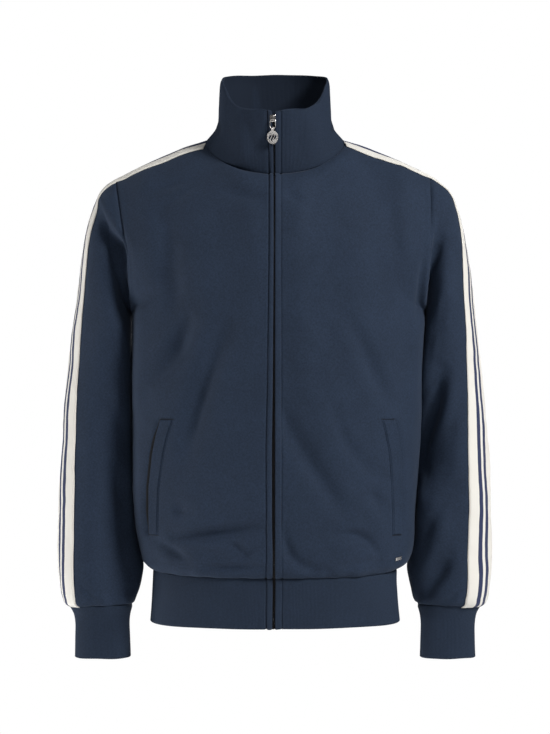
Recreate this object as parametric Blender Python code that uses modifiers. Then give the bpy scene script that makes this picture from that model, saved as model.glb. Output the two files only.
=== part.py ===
"""A zip-front track jacket, size M, in the hollow form it has when worn, with nobody in it.

Frame: metres, +Z up, the front faces -Y and the wearer's left is at +X. The origin is the middle of the
neck, level with the tops of the shoulders. Every cloth piece is a wall through a grid of points that
functions work out from the tables below, so pieces that meet or lie on each other share one form.
"""

import math
from collections import namedtuple

import bmesh
import bpy
import numpy as np
from mathutils import Matrix, Vector

MM = 0.001

# Cloth and seams.
BODY_WALL = 1.8 * MM
RIB_WALL = 2.2 * MM
TAPE_WALL = 1.0 * MM
SEAM_GAP = 0.3 * MM
LAID_GAP = 0.8 * MM

# Neck, shoulders and armholes. LEFT and RIGHT are the wearer's sides, as signs of X.
LEFT, RIGHT = 1, -1
FRONT, BACK = -1, 1
SIDES = {LEFT: "left", RIGHT: "right"}
NECK_HALF_WIDTH = 0.0975
NECK_POINT_Y = 0.005
NECK_FRONT_Y, NECK_FRONT_Z = -0.075, -0.052
NECK_BACK_Y, NECK_BACK_Z = 0.063, 0.010
SHOULDER_POINT = {LEFT: (0.2175, 0.010, -0.0480), RIGHT: (0.2235, 0.010, -0.0535)}
SHOULDER_CURVE = 1.2
SIDE_SEAM_Y = 0.005
UNDERARM_Z = -0.240
NOTCH_Z = -0.155
NOTCH_Y = {FRONT: -0.052, BACK: 0.078}
NOTCH_TURN = 0.35

# The striped tape: 55 mm wide, its middle on the shoulder line and then down the sleeve.
TAPE_WIDTH = 0.055
TAPE_STEPS = (0.0, TAPE_WIDTH / 4, TAPE_WIDTH / 2)

# The zip: its line leans towards the right at the collar, and the front edges stand back from it.
ZIP_EDGE = 2.0 * MM
PLACKET = 12.5 * MM
ZipPoint = namedtuple("ZipPoint", "z x")
ZIP_LINE = (
    ZipPoint(-0.680, -0.0018),
    ZipPoint(-0.020, -0.0015),
    ZipPoint(0.040, -0.0040),
)
ZIP_DEPTH = RIB_WALL + 2 * SEAM_GAP
ZIP_TAPE_WALL = 1.0 * MM
CHAIN_HALF_WIDTH = 2.2 * MM
CHAIN_WALL = 1.6 * MM
BLOUSE_ROWS = 3

# Torso sections from the hem up: half widths on each side of X = 0, depths in front and behind Y = 0.
Section = namedtuple("Section", "z right left front back")
TORSO = (
    Section(-0.6022, 0.1705, 0.1705, 0.1065, 0.1020),
    Section(-0.5975, 0.1770, 0.1765, 0.1130, 0.1075),
    Section(-0.5915, 0.1830, 0.1835, 0.1162, 0.1110),
    Section(-0.5830, 0.1868, 0.1885, 0.1178, 0.1128),
    Section(-0.5650, 0.1905, 0.1930, 0.1182, 0.1138),
    Section(-0.5450, 0.1945, 0.1955, 0.1180, 0.1140),
    Section(-0.5150, 0.1972, 0.1970, 0.1180, 0.1140),
    Section(-0.4700, 0.1988, 0.2000, 0.1185, 0.1140),
    Section(-0.4200, 0.1995, 0.2035, 0.1195, 0.1145),
    Section(-0.3600, 0.2002, 0.2058, 0.1210, 0.1155),
    Section(-0.3000, 0.2003, 0.2072, 0.1230, 0.1170),
    Section(UNDERARM_Z, 0.2005, 0.2094, 0.1245, 0.1180),
    Section(NOTCH_Z, 0.2065, 0.2165, 0.1240, 0.1170),
)
TORSO_POWER = 2.3
TORSO_LEVELS = (
    -0.6022, -0.5975, -0.5915, -0.5830, -0.5650, -0.5450, -0.5180, -0.4900, -0.4600, -0.4300,
    -0.4000, -0.3700, -0.3400, -0.3100, -0.2750, -0.2400,
)
ARMHOLE_STEPS = (1 / 3, 2 / 3, 1.0)
YOKE_ROWS = 5
YOKE_POWER = {FRONT: (1.5, 1.4, 1.75), BACK: (1.7, 1.7, 1.9)}
NECK_COLUMNS = 6
SHOULDER_COLUMNS = 6
SHOULDER_SHARE = 0.36
EASE_PASSES = 3
EASE_SHARE = 0.25
EASE_ROWS = slice(11, -2)
EASE_COLUMNS = slice(NECK_COLUMNS - 3, NECK_COLUMNS + 4)

# Sleeve rings from below the armhole to the cuff seam: outer and inner ends of each ring's middle line,
# its middle in Y, its half depth, and how far the tape has turned forward on it.
Ring = namedtuple("Ring", "outer_x outer_z inner_x inner_z mid_y half_depth turn_right turn_left")
SLEEVE = (
    Ring(0.2400, -0.0690, 0.2050, -0.2540, 0.0150, 0.0660, 0, 0),
    Ring(0.2510, -0.0900, 0.2040, -0.2690, 0.0190, 0.0680, 0, 0),
    Ring(0.2585, -0.1140, 0.2020, -0.2850, 0.0230, 0.0690, 0, 0),
    Ring(0.2645, -0.1430, 0.2000, -0.3020, 0.0270, 0.0700, 0, 1),
    Ring(0.2695, -0.1720, 0.1985, -0.3200, 0.0310, 0.0700, 1, 3),
    Ring(0.2735, -0.2010, 0.1970, -0.3390, 0.0340, 0.0695, 2, 4),
    Ring(0.2775, -0.2320, 0.1955, -0.3580, 0.0360, 0.0690, 4, 6),
    Ring(0.2815, -0.2640, 0.1950, -0.3790, 0.0375, 0.0680, 6, 8),
    Ring(0.2850, -0.2980, 0.1950, -0.4020, 0.0380, 0.0670, 8, 10),
    Ring(0.2885, -0.3330, 0.1950, -0.4260, 0.0375, 0.0660, 11, 13),
    Ring(0.2915, -0.3690, 0.1950, -0.4500, 0.0355, 0.0650, 14, 17),
    Ring(0.2945, -0.4060, 0.1940, -0.4740, 0.0330, 0.0640, 17, 21),
    Ring(0.2972, -0.4430, 0.1930, -0.4990, 0.0300, 0.0630, 19, 23),
    Ring(0.2998, -0.4800, 0.1920, -0.5240, 0.0260, 0.0620, 21, 25),
    Ring(0.3020, -0.5170, 0.1900, -0.5500, 0.0220, 0.0610, 22, 27),
    Ring(0.3036, -0.5530, 0.1870, -0.5740, 0.0180, 0.0600, 22, 28),
    Ring(0.3040, -0.5830, 0.1855, -0.5950, 0.0145, 0.0585, 21, 28),
    Ring(0.3020, -0.6080, 0.1875, -0.6140, 0.0115, 0.0560, 20, 27),
    Ring(0.2975, -0.6270, 0.1920, -0.6290, 0.0090, 0.0520, 19, 26),
    Ring(0.2905, -0.6400, 0.1975, -0.6400, 0.0070, 0.0450, 18, 25),
    Ring(0.2815, -0.6470, 0.2025, -0.6465, 0.0060, 0.0345, 18, 25),
)
SLEEVE_POWER = 2.2
SLEEVE_COLUMNS = 18
BODY_CLEARANCE = 3.2 * MM

# Cuffs and waistband, top and bottom.
CUFF_MIDDLE_X = 0.2415
CuffRing = namedtuple("CuffRing", "z half_width half_depth mid_y")
CUFF = (
    CuffRing(-0.6473, 0.0392, 0.0341, 0.0060),
    CuffRing(-0.6700, 0.0378, 0.0318, 0.0045),
    CuffRing(-0.6950, 0.0380, 0.0318, 0.0030),
    CuffRing(-0.7205, 0.0386, 0.0322, 0.0020),
)
CUFF_POWER = 2.2
CUFF_COLUMNS = 24
WAISTBAND = (
    Section(-0.6026, 0.1700, 0.1700, 0.1062, 0.1018),
    Section(-0.6250, 0.1712, 0.1712, 0.1058, 0.1015),
    Section(-0.6480, 0.1725, 0.1725, 0.1060, 0.1015),
    Section(-0.6700, 0.1742, 0.1742, 0.1068, 0.1020),
)
BAND_COLUMNS = 18

# The collar's top edge, by the turn from the front middle, and how its foot flares to the neck seam.
CollarTop = namedtuple("CollarTop", "turn half_width y z")
COLLAR_TOP = (
    CollarTop(0, 0.0000, -0.0850, 0.0305),
    CollarTop(15, 0.0197, -0.0835, 0.0350),
    CollarTop(32, 0.0406, -0.0745, 0.0362),
    CollarTop(47, 0.0560, -0.0580, 0.0445),
    CollarTop(60, 0.0660, -0.0430, 0.0585),
    CollarTop(70, 0.0714, -0.0300, 0.0735),
    CollarTop(80, 0.0745, -0.0150, 0.0830),
    CollarTop(90, 0.0760, 0.0000, 0.0880),
    CollarTop(110, 0.0725, 0.0230, 0.0925),
    CollarTop(135, 0.0560, 0.0450, 0.0960),
    CollarTop(160, 0.0260, 0.0590, 0.0985),
    CollarTop(180, 0.0000, 0.0620, 0.0990),
)
FlareRow = namedtuple("FlareRow", "height narrowed")
COLLAR_FLARE = (
    FlareRow(0.000, 0.00),
    FlareRow(0.080, 0.30),
    FlareRow(0.160, 0.60),
    FlareRow(0.280, 0.83),
    FlareRow(0.520, 0.90),
    FlareRow(0.760, 0.95),
    FlareRow(1.000, 1.00),
)
COLLAR_COLUMNS = 30

# Pocket welts, by the outer edge of the opening, on the front at these heights.
WeltRow = namedtuple("WeltRow", "z right left")
WELT = (
    WeltRow(-0.3850, 0.1590, 0.1640),
    WeltRow(-0.4350, 0.1700, 0.1705),
    WeltRow(-0.4850, 0.1745, 0.1745),
    WeltRow(-0.5480, 0.1745, 0.1755),
)
WELT_WIDTH = {LEFT: (0.0185, 0.0150), RIGHT: (0.0185, 0.0140)}
WELT_ROWS, WELT_COLUMNS = 12, 4
WELT_WALL = 1.6 * MM
WELT_GAP = 0.8 * MM

# The largest folds, as seen from in front or behind: both ends, reach to each side, height (- is a trough).
Fold = namedtuple("Fold", "face x0 z0 x1 z1 reach height")
FOLDS = (
    Fold(FRONT, -0.113, -0.240, -0.157, -0.325, 0.014, -0.0020),
    Fold(FRONT, 0.077, -0.250, 0.098, -0.475, 0.030, -0.0030),
    Fold(FRONT, -0.075, -0.592, -0.020, -0.595, 0.014, -0.0025),
    Fold(FRONT, -0.145, -0.572, -0.118, -0.583, 0.012, -0.0030),
    Fold(FRONT, -0.241, -0.101, -0.211, -0.150, 0.012, -0.0035),
    Fold(FRONT, 0.240, -0.150, 0.212, -0.188, 0.012, -0.0030),
    Fold(FRONT, 0.240, -0.195, 0.214, -0.270, 0.014, 0.0040),
    Fold(FRONT, 0.248, -0.318, 0.212, -0.425, 0.015, -0.0060),
    Fold(FRONT, -0.246, -0.340, -0.214, -0.440, 0.016, -0.0045),
    Fold(FRONT, 0.250, -0.560, 0.212, -0.625, 0.014, -0.0050),
    Fold(FRONT, -0.262, -0.560, -0.214, -0.620, 0.014, -0.0035),
    Fold(BACK, -0.150, -0.250, -0.060, -0.330, 0.022, -0.0035),
    Fold(BACK, 0.160, -0.240, 0.070, -0.345, 0.020, -0.0030),
    Fold(BACK, -0.060, -0.575, 0.030, -0.585, 0.016, -0.0030),
    Fold(BACK, 0.242, -0.310, 0.214, -0.400, 0.018, -0.0050),
    Fold(BACK, -0.244, -0.300, -0.212, -0.390, 0.018, -0.0045),
)

# The slider and its pull. The link's top bar runs under the slider's arch and turns about X.
SLIDER_Z = 0.0225
SLIDER_PLATE = (8.0 * MM, 1.4 * MM, 9.6 * MM)
SLIDER_BACK_Y = 5.2 * MM
SLIDER_POST = (2.4 * MM, 3.6 * MM)
ARCH = (2.0 * MM, 3.2 * MM, 8.0 * MM)
ARCH_WINDOW = (2.0 * MM, 5.6 * MM)
LINK_WIRE = 0.6 * MM
LINK_HALF_WIDTH = 3.7 * MM
LINK_LENGTH = 11.6 * MM
BARREL_RADIUS, BARREL_HOLE, BARREL_LENGTH = 1.9 * MM, 1.0 * MM, 4.0 * MM
TAB_HALF_WIDTH, TAB_HALF_LENGTH, TAB_WALL = 7.6 * MM, 9.4 * MM, 1.6 * MM
TAB_NECK = 2.2 * MM
TAB_SLOT_HALF = 1.35 * MM
TAB_SLOTS = ((-3.6 * MM, 3.1 * MM), (0.0, 4.9 * MM), (3.6 * MM, 3.1 * MM))
TAB_SLANT = math.radians(24)
SIDE_PLATE = (12.0 * MM, 1.0 * MM, 5.0 * MM)
SIDE_PLATE_X, SIDE_PLATE_Z, SIDE_PLATE_TILT = 0.1690, -0.5790, math.radians(8)

Finish = namedtuple("Finish", "name colour roughness metallic")
NAVY = Finish("navy_knit", (0.022, 0.034, 0.062), 0.9, 0.0)
RIB = Finish("navy_rib", (0.019, 0.029, 0.052), 0.92, 0.0)
TAPE = Finish("striped_tape", (0.80, 0.77, 0.71), 0.85, 0.0)
ZIP_CLOTH = Finish("zip_cloth", (0.012, 0.018, 0.034), 0.85, 0.0)
ZIP_TEETH = Finish("zip_teeth", (0.010, 0.012, 0.018), 0.5, 0.0)
METAL = Finish("bright_metal", (0.74, 0.72, 0.70), 0.28, 1.0)

SMOOTH_STEPS = 60


def table_value(rows, value, z):
    """A table's column at height z, straight between its rows."""
    levels = [row.z for row in rows]
    values = [getattr(row, value) for row in rows]
    if levels[0] > levels[-1]:
        levels.reverse()
        values.reverse()
    return float(np.interp(z, levels, values))


def lengths_along(points):
    """Distance from the first point to each point of a line."""
    steps = np.linalg.norm(np.diff(points, axis=0), axis=1)
    return np.concatenate(([0.0], np.cumsum(steps)))


def at_distances(points, distances):
    """Points of a line at the given distances along it."""
    along = lengths_along(points)
    return np.stack([np.interp(distances, along, points[:, axis]) for axis in range(3)], axis=1)


def zip_x(z):
    """X of the zip's line at height z."""
    return table_value(ZIP_LINE, "x", z)


def split_distances(total, columns, first=PLACKET):
    """Distances along a row: 0, the placket's stitch line, then even steps to the total."""
    return np.concatenate(([0.0], np.linspace(first, total, columns)))


def superellipse_turn(power, turn):
    """Sine and cosine of turn, bent to a superellipse of this power."""
    sine, cosine = np.sin(turn), np.cos(turn)
    return (np.sign(sine) * np.abs(sine) ** (2 / power), np.sign(cosine) * np.abs(cosine) ** (2 / power))


def armhole_edge(side, face, step):
    """Point of the armhole between the underarm (0) and its notch (1)."""
    turn = step * math.pi / 2
    y = SIDE_SEAM_Y + (NOTCH_Y[face] - SIDE_SEAM_Y) * math.sin(turn)
    z = UNDERARM_Z + (NOTCH_Z - UNDERARM_Z) * (1 - math.cos(turn))
    return np.array((side * table_value(TORSO, SIDES[side], z), y, z))


def torso_row(side, face, z, step=0.0):
    """One side's row of the torso, from the middle to the side seam or, past step 0, to the armhole."""
    depth = table_value(TORSO, "front" if face == FRONT else "back", z)
    if step > 0:
        end = armhole_edge(side, face, step)
    else:
        end = np.array((side * table_value(TORSO, SIDES[side], z), SIDE_SEAM_Y, z))
    share = 1 + (NOTCH_TURN - 1) * math.sin(step * math.pi / 2)
    turn = np.linspace(0, math.asin(math.sqrt(share)), SMOOTH_STEPS)
    across = (np.sin(turn) ** 2 / share) ** (1 / TORSO_POWER)
    inward = 1 - np.cos(turn) ** (2 / TORSO_POWER)
    inward /= inward[-1]
    x = end[0] * across
    y = face * depth + (end[1] - face * depth) * inward
    return np.stack([x, y, z + (end[2] - z) * across ** 4], axis=1)


def from_zip_edge(points, side):
    """The part of a row that starts at the front edge beside the zip."""
    reached = np.maximum.accumulate(side * (points[:, 0] - zip_x(points[0][2])))
    start = np.interp(ZIP_EDGE, reached, lengths_along(points))
    total = lengths_along(points)[-1]
    return at_distances(points, np.linspace(start, total, SMOOTH_STEPS * 2))


def neckline(side, face, turn):
    """Points of the neck seam; turn runs from the middle (0) to the shoulder line (90 degrees)."""
    middle_y, middle_z = (NECK_FRONT_Y, NECK_FRONT_Z) if face == FRONT else (NECK_BACK_Y, NECK_BACK_Z)
    cosine = np.abs(np.cos(turn))
    return np.stack([
        side * NECK_HALF_WIDTH * np.sin(turn),
        NECK_POINT_Y + (middle_y - NECK_POINT_Y) * cosine,
        middle_z * cosine ** 1.1,
    ], axis=1)


def shoulder_line(side, share):
    """Points of the shoulder line from the neck (0) to the armhole (1)."""
    x, y, z = SHOULDER_POINT[side]
    share = np.asarray(share, dtype=float)
    return np.stack([
        side * (NECK_HALF_WIDTH + (x - NECK_HALF_WIDTH) * share),
        NECK_POINT_Y + (y - NECK_POINT_Y) * share,
        z * share ** SHOULDER_CURVE,
    ], axis=1)


def half_row_distances(total, has_zip):
    """Distances of a lower row's columns, so that the neck's and the shoulder's columns line up."""
    first = PLACKET if has_zip else 0.0
    corner = first + (total - first) * SHOULDER_SHARE
    neck = split_distances(corner, NECK_COLUMNS) if has_zip else np.linspace(0, corner, NECK_COLUMNS + 1)
    return np.concatenate((neck, np.linspace(corner, total, SHOULDER_COLUMNS + 1)[1:]))


def top_row(side, face):
    """A half panel's top edge: along the neckline, then along the shoulder line."""
    neck = neckline(side, face, np.linspace(0, math.pi / 2, SMOOTH_STEPS))
    if face == FRONT:
        neck = from_zip_edge(neck, side)
        distances = split_distances(lengths_along(neck)[-1], NECK_COLUMNS)
    else:
        distances = np.linspace(0, lengths_along(neck)[-1], NECK_COLUMNS + 1)
    shoulder = shoulder_line(side, np.linspace(0, 1, SHOULDER_COLUMNS + 1)[1:])
    return np.concatenate((at_distances(neck, distances), shoulder))


def yoke_column(base, top, power):
    """A smooth line up over the chest or the shoulder blade, from base to top."""
    across, up = superellipse_turn(power, np.linspace(math.pi / 2, 0, SMOOTH_STEPS))
    return np.stack([
        base[0] + (top[0] - base[0]) * up,
        top[1] + (base[1] - top[1]) * across,
        base[2] + (top[2] - base[2]) * up,
    ], axis=1)


def yoke_power(face, column):
    """How full the yoke is at a column: at the middle, at the neck point and at the armhole."""
    return float(np.interp(column, (0, NECK_COLUMNS, NECK_COLUMNS + SHOULDER_COLUMNS), YOKE_POWER[face]))


def half_panel(side, face):
    """Grid of one side of the front or the back, rows from the hem up, columns from the middle out."""
    rows = []
    levels = [(z, 0.0) for z in TORSO_LEVELS]
    levels += [(UNDERARM_Z + (NOTCH_Z - UNDERARM_Z) * step, step) for step in ARMHOLE_STEPS]
    for z, step in levels:
        line = torso_row(side, face, z, step)
        if face == FRONT:
            line = from_zip_edge(line, side)
        rows.append(at_distances(line, half_row_distances(lengths_along(line)[-1], face == FRONT)))
    columns = []
    for number, (base, top) in enumerate(zip(rows[-1], top_row(side, face))):
        line = yoke_column(base, top, yoke_power(face, number))[::-1]
        total = lengths_along(line)[-1]
        below = np.linspace(TAPE_STEPS[-1], total, YOKE_ROWS + 1)[1:-1]
        columns.append(at_distances(line, np.concatenate((TAPE_STEPS, below)))[::-1])
    yoke = np.stack(columns, axis=1)
    return eased(np.concatenate((np.stack(rows), yoke)))


def normals_of(grid, closed=False):
    """Unit normals of a grid's points, either way round."""
    if closed:
        wide = np.concatenate((grid[:, -1:], grid, grid[:, :1]), axis=1)
        across = (wide[:, 2:] - wide[:, :-2])
    else:
        across = np.gradient(grid, axis=1)
    up = np.gradient(grid, axis=0)
    normals = np.cross(across, up)
    return normals / np.linalg.norm(normals, axis=2, keepdims=True)


def outward_normals(grid, inside, closed=False):
    """Unit normals pointing away from the points inside, one for each row."""
    normals = normals_of(grid, closed)
    away = grid - np.asarray(inside)[:, None, :]
    return normals if float(np.sum(normals * away)) > 0 else -normals


def row_middles(grid):
    """The middle of each row."""
    return grid.mean(axis=1)


def torso_axis(grid):
    """A point inside the torso for each row of a grid."""
    levels = np.minimum(grid[:, :, 2].mean(axis=1), NOTCH_Z)
    return np.stack([np.zeros(len(grid)), np.zeros(len(grid)), levels], axis=1)


def eased(grid):
    """A half panel with the yoke's corner and the underarm's level run smoothly into their surroundings."""
    grid = grid.copy()
    yoke = grid[1:-1]
    chest = grid[EASE_ROWS]
    for _ in range(EASE_PASSES):
        sag = EASE_SHARE * (np.roll(yoke, 1, 1) + np.roll(yoke, -1, 1) - 2 * yoke)
        yoke[:, EASE_COLUMNS] += sag[:, EASE_COLUMNS]
        bend = EASE_SHARE * (chest[2:] + chest[:-2] - 2 * chest[1:-1])
        chest[1:-1, EASE_COLUMNS] += bend[:, EASE_COLUMNS]
    return grid


def fold_height(points, face):
    """How far the folds of one face lift (+) or sink (-) each point."""
    lift = np.zeros(points.shape[:-1])
    for fold in FOLDS:
        if fold.face != face:
            continue
        start = np.array((fold.x0, fold.z0))
        run = np.array((fold.x1, fold.z1)) - start
        flat = points[..., (0, 2)] - start
        share = np.clip(flat @ run / (run @ run), 0, 1)
        distance = np.linalg.norm(flat - share[..., None] * run, axis=-1)
        fade = 0.35 + 0.65 * np.sin(math.pi * share)
        lift += fold.height * fade * np.exp(-(distance / fold.reach) ** 2)
    return lift


def folded(grid, inside, closed=False, keep_columns=True):
    """The grid with its folds; its first and last rows, and edge columns, stay at their seams."""
    normals = outward_normals(grid, inside, closed)
    lift = np.where(normals[..., 1] < 0, fold_height(grid, FRONT), fold_height(grid, BACK))
    lift = lift * np.abs(normals[..., 1])
    lift[0] = lift[-1] = 0
    if keep_columns:
        lift[:, 0] = lift[:, -1] = 0
    return grid + normals * lift[..., None]


def drawn_in(grid, bottom=0.0, top=0.0, first=0.0, last=0.0):
    """The grid with its edges drawn in by these distances, which leaves the seams' gaps."""
    grid = grid.copy()
    edges = ((0, 1, bottom, 0), (-1, -2, top, 0), (0, 1, first, 1), (-1, -2, last, 1))
    for edge, beside, distance, axis in edges:
        if distance:
            line = np.take(grid, edge, axis=axis)
            step = np.take(grid, beside, axis=axis) - line
            step *= distance / np.linalg.norm(step, axis=1, keepdims=True)
            if axis == 0:
                grid[edge] = line + step
            else:
                grid[:, edge] = line + step
    return grid


def collection(name):
    """A new collection in the scene."""
    made = bpy.data.collections.new(name)
    bpy.context.scene.collection.children.link(made)
    return made


def material(finish):
    """The Principled material of a finish, made once."""
    found = bpy.data.materials.get(finish.name)
    if found:
        return found
    made = bpy.data.materials.new(finish.name)
    made.use_nodes = True
    shader = made.node_tree.nodes["Principled BSDF"]
    shader.inputs["Base Color"].default_value = (*finish.colour, 1.0)
    shader.inputs["Roughness"].default_value = finish.roughness
    shader.inputs["Metallic"].default_value = finish.metallic
    return made


def place(name, mesh, finish, smooth=True):
    """An object of the jacket around a mesh, with its material."""
    made = bpy.data.objects.new(name, mesh)
    mesh.materials.append(material(finish))
    if smooth:
        mesh.shade_smooth()
    JACKET.objects.link(made)
    return made


def cloth(name, grid, wall, finish, inside, closed=False):
    """A cut piece: a skin through the grid's points, with its wall's thickness towards the inside."""
    rows, columns = grid.shape[:2]
    last = columns if closed else columns - 1
    flip = float(np.sum(normals_of(grid, closed) * outward_normals(grid, inside, closed))) < 0
    mesh = bpy.data.meshes.new(name)
    shape = bmesh.new()
    points = [[shape.verts.new(point) for point in row] for row in grid]
    for row in range(rows - 1):
        for column in range(last):
            beside = (column + 1) % columns
            below = [points[row][column], points[row][beside]]
            corners = below + [points[row + 1][beside], points[row + 1][column]]
            shape.faces.new(corners[::-1] if flip else corners)
    shape.to_mesh(mesh)
    shape.free()
    piece = place(name, mesh, finish)
    thicken = piece.modifiers.new("Wall", "SOLIDIFY")
    thicken.thickness = wall
    thicken.offset = -1
    return piece


def laid_on(grid, inside, gap, wall, closed=False):
    """The grid of a piece that lies on another one: its points, moved out by a gap and its own wall."""
    return grid + outward_normals(grid, inside, closed) * (gap + wall)


def body_half_width(side, y, z):
    """X of the torso's side at a depth and height, as a positive distance."""
    width = table_value(TORSO, SIDES[side], z)
    face = FRONT if y < SIDE_SEAM_Y else BACK
    depth = abs(face * table_value(TORSO, "front" if face == FRONT else "back", z) - SIDE_SEAM_Y)
    share = min(abs(y - SIDE_SEAM_Y) / depth, 1.0)
    return width * (1 - share ** TORSO_POWER) ** (1 / TORSO_POWER)


def beside_body(points, side):
    """Points of a sleeve pressed out to where they clear the torso."""
    points = points.copy()
    for point in points:
        if point[2] < UNDERARM_Z + 0.02:
            clear = body_half_width(side, point[1], point[2]) + BODY_CLEARANCE
            point[0] = side * max(side * point[0], clear)
    return points


def tube_distances(total):
    """Distances round a sleeve's ring, with the tape's own columns at its start and end."""
    even = np.linspace(TAPE_STEPS[-1], total - TAPE_STEPS[-1], SLEEVE_COLUMNS + 1)
    return np.concatenate((TAPE_STEPS[:-1], even, [total - TAPE_STEPS[1]]))


def armhole_loop(side):
    """The armhole's dense line from the shoulder down its front, round and up its back."""
    halves = []
    for face in (FRONT, BACK):
        lower = np.array([armhole_edge(side, face, step) for step in np.linspace(0, 1, SMOOTH_STEPS)])
        top = np.array(SHOULDER_POINT[side]) * (side, 1, 1)
        upper = yoke_column(lower[-1], top, YOKE_POWER[face][2])
        halves.append(np.concatenate((lower, upper[1:])))
    return np.concatenate((halves[0][::-1], halves[1][1:]))


def sleeve_ring(side, ring):
    """A sleeve's dense ring, starting at the middle of the tape and going round by the front."""
    turn_forward = math.radians(ring.turn_left if side == LEFT else ring.turn_right)
    turn = turn_forward + np.linspace(0, 2 * math.pi, 4 * SMOOTH_STEPS + 1)
    outer = np.array((side * ring.outer_x, ring.mid_y, ring.outer_z))
    inner = np.array((side * ring.inner_x, ring.mid_y, ring.inner_z))
    sine, cosine = superellipse_turn(SLEEVE_POWER, turn)
    middle, reach = (outer + inner) / 2, (outer - inner) / 2
    points = middle + cosine[:, None] * reach
    points[:, 1] -= sine * ring.half_depth
    return beside_body(points, side)


def sleeve_grid(side):
    """A sleeve's grid, rows from the cuff seam up to the armhole."""
    rings = [armhole_loop(side) + (side * SEAM_GAP, 0, 0)]
    rings += [sleeve_ring(side, ring) for ring in SLEEVE]
    rows = [at_distances(ring, tube_distances(lengths_along(ring)[-1])) for ring in rings]
    grid = np.stack(rows[::-1])
    return folded(grid, row_middles(grid), closed=True, keep_columns=False)


def cuff_grid(side):
    """A cuff's grid, rows from its open end up to the sleeve."""
    rows = []
    for ring in reversed(CUFF):
        turn = np.linspace(0, 2 * math.pi, CUFF_COLUMNS, endpoint=False)
        sine, cosine = superellipse_turn(CUFF_POWER, turn)
        rows.append(np.stack([
            side * CUFF_MIDDLE_X + side * ring.half_width * cosine,
            ring.mid_y - ring.half_depth * sine,
            np.full(len(turn), ring.z),
        ], axis=1))
    return np.stack(rows)


def band_ring(row):
    """The waistband's dense ring, from the zip's left edge round the back to its right edge."""
    parts = []
    for side in (LEFT, RIGHT):
        for face in (FRONT, BACK):
            depth = (row.front if face == FRONT else row.back) - face * SIDE_SEAM_Y
            sine, cosine = superellipse_turn(TORSO_POWER, np.linspace(0, math.pi / 2, SMOOTH_STEPS))
            width = row.left if side == LEFT else row.right
            parts.append(np.stack([
                side * width * sine,
                SIDE_SEAM_Y + face * depth * cosine,
                np.full(SMOOTH_STEPS, row.z),
            ], axis=1))
    front_left, back_left, front_right, back_right = parts
    left = np.concatenate((from_zip_edge(front_left, LEFT), back_left[::-1][1:]))
    right = np.concatenate((from_zip_edge(front_right, RIGHT), back_right[::-1][1:]))
    return np.concatenate((left, right[::-1][1:]))


def with_plackets(total, columns):
    """Distances along a ring that is open at the zip: a placket's column at both ends."""
    return np.concatenate(([0.0], np.linspace(PLACKET, total - PLACKET, columns), [total]))


def open_rings(rings, columns):
    """The grid of a piece made of rings that are open at the zip."""
    return np.stack([at_distances(ring, with_plackets(lengths_along(ring)[-1], columns)) for ring in rings])


def band_grid():
    """The waistband's grid, rows from its lower edge up."""
    rings = [band_ring(row) for row in reversed(WAISTBAND)]
    return open_rings(rings, 2 * BAND_COLUMNS)


def collar_ring(height, narrowed):
    """The collar's dense ring at a share of its height, from the zip's left edge round the back."""
    turn = np.linspace(0, math.pi, 2 * SMOOTH_STEPS + 1)
    half = len(turn) // 2 + 1
    foot = np.concatenate((
        neckline(LEFT, FRONT, turn[:half]),
        neckline(LEFT, BACK, turn[half:]),
    ))
    degrees = np.degrees(turn)
    turns = [row.turn for row in COLLAR_TOP]
    top = np.stack([
        np.interp(degrees, turns, [getattr(row, value) for row in COLLAR_TOP])
        for value in ("half_width", "y", "z")
    ], axis=1)
    sideways = np.sin(turn)[:, None] ** 2
    share = height * (1 - sideways) + narrowed * sideways
    left = foot + (top - foot) * share
    left[:, 2] = foot[:, 2] + (top[:, 2] - foot[:, 2]) * height
    right = left * (-1, 1, 1)
    left = from_zip_edge(left, LEFT)
    right = from_zip_edge(right, RIGHT)
    return np.concatenate((left, right[::-1][1:]))


def collar_grid():
    """The collar's grid, rows from the neck seam up."""
    rings = [collar_ring(row.height, row.narrowed) for row in COLLAR_FLARE]
    return open_rings(rings, COLLAR_COLUMNS)


def front_point(grid, x, z):
    """Point and outward normal of a front panel's faces at a place seen from in front."""
    side = 1 if grid[0, -1, 0] > 0 else -1
    levels = grid[:, 0, 2]
    row = int(np.clip(np.searchsorted(levels, z) - 1, 0, len(levels) - 2))
    up = (z - levels[row]) / (levels[row + 1] - levels[row])
    line = grid[row] * (1 - up) + grid[row + 1] * up
    column = int(np.clip(np.searchsorted(side * line[:, 0], side * x) - 1, 0, len(line) - 2))
    across = (x - line[column, 0]) / (line[column + 1, 0] - line[column, 0])
    point = line[column] * (1 - across) + line[column + 1] * across
    along = line[column + 1] - line[column]
    rise = grid[row + 1, column] - grid[row, column]
    normal = np.cross(along, rise) * side
    return point, normal / np.linalg.norm(normal)


def welt_grid(panel, side):
    """A pocket welt's grid on its front panel, already moved out to its outer face."""
    rows = []
    top, bottom = WELT[0].z, WELT[-1].z
    for z in np.linspace(bottom, top, WELT_ROWS + 1):
        outer = table_value(WELT, SIDES[side], z)
        width = np.interp(z, (bottom, top), WELT_WIDTH[side][::-1])
        row = []
        for x in np.linspace(outer - width, outer, WELT_COLUMNS + 1):
            point, normal = front_point(panel, side * x, z)
            row.append(point + normal * (WELT_GAP + WELT_WALL))
        rows.append(row)
    return np.array(rows)


def zip_strip(edge, start, end):
    """Rows of two points each, between shares of the placket's width, behind the cloth's edge."""
    inward = outward_normals(edge, torso_axis(edge)) * -ZIP_DEPTH
    width = edge[:, 1] - edge[:, 0]
    return np.stack([edge[:, 0] + width * share + inward[:, 0] for share in (start, end)], axis=1)


def sides_of(grid, side):
    """The grid of an open ring as seen from one side of the zip, its first column at the zip."""
    return grid if side == LEFT else grid[:, ::-1]


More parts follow.
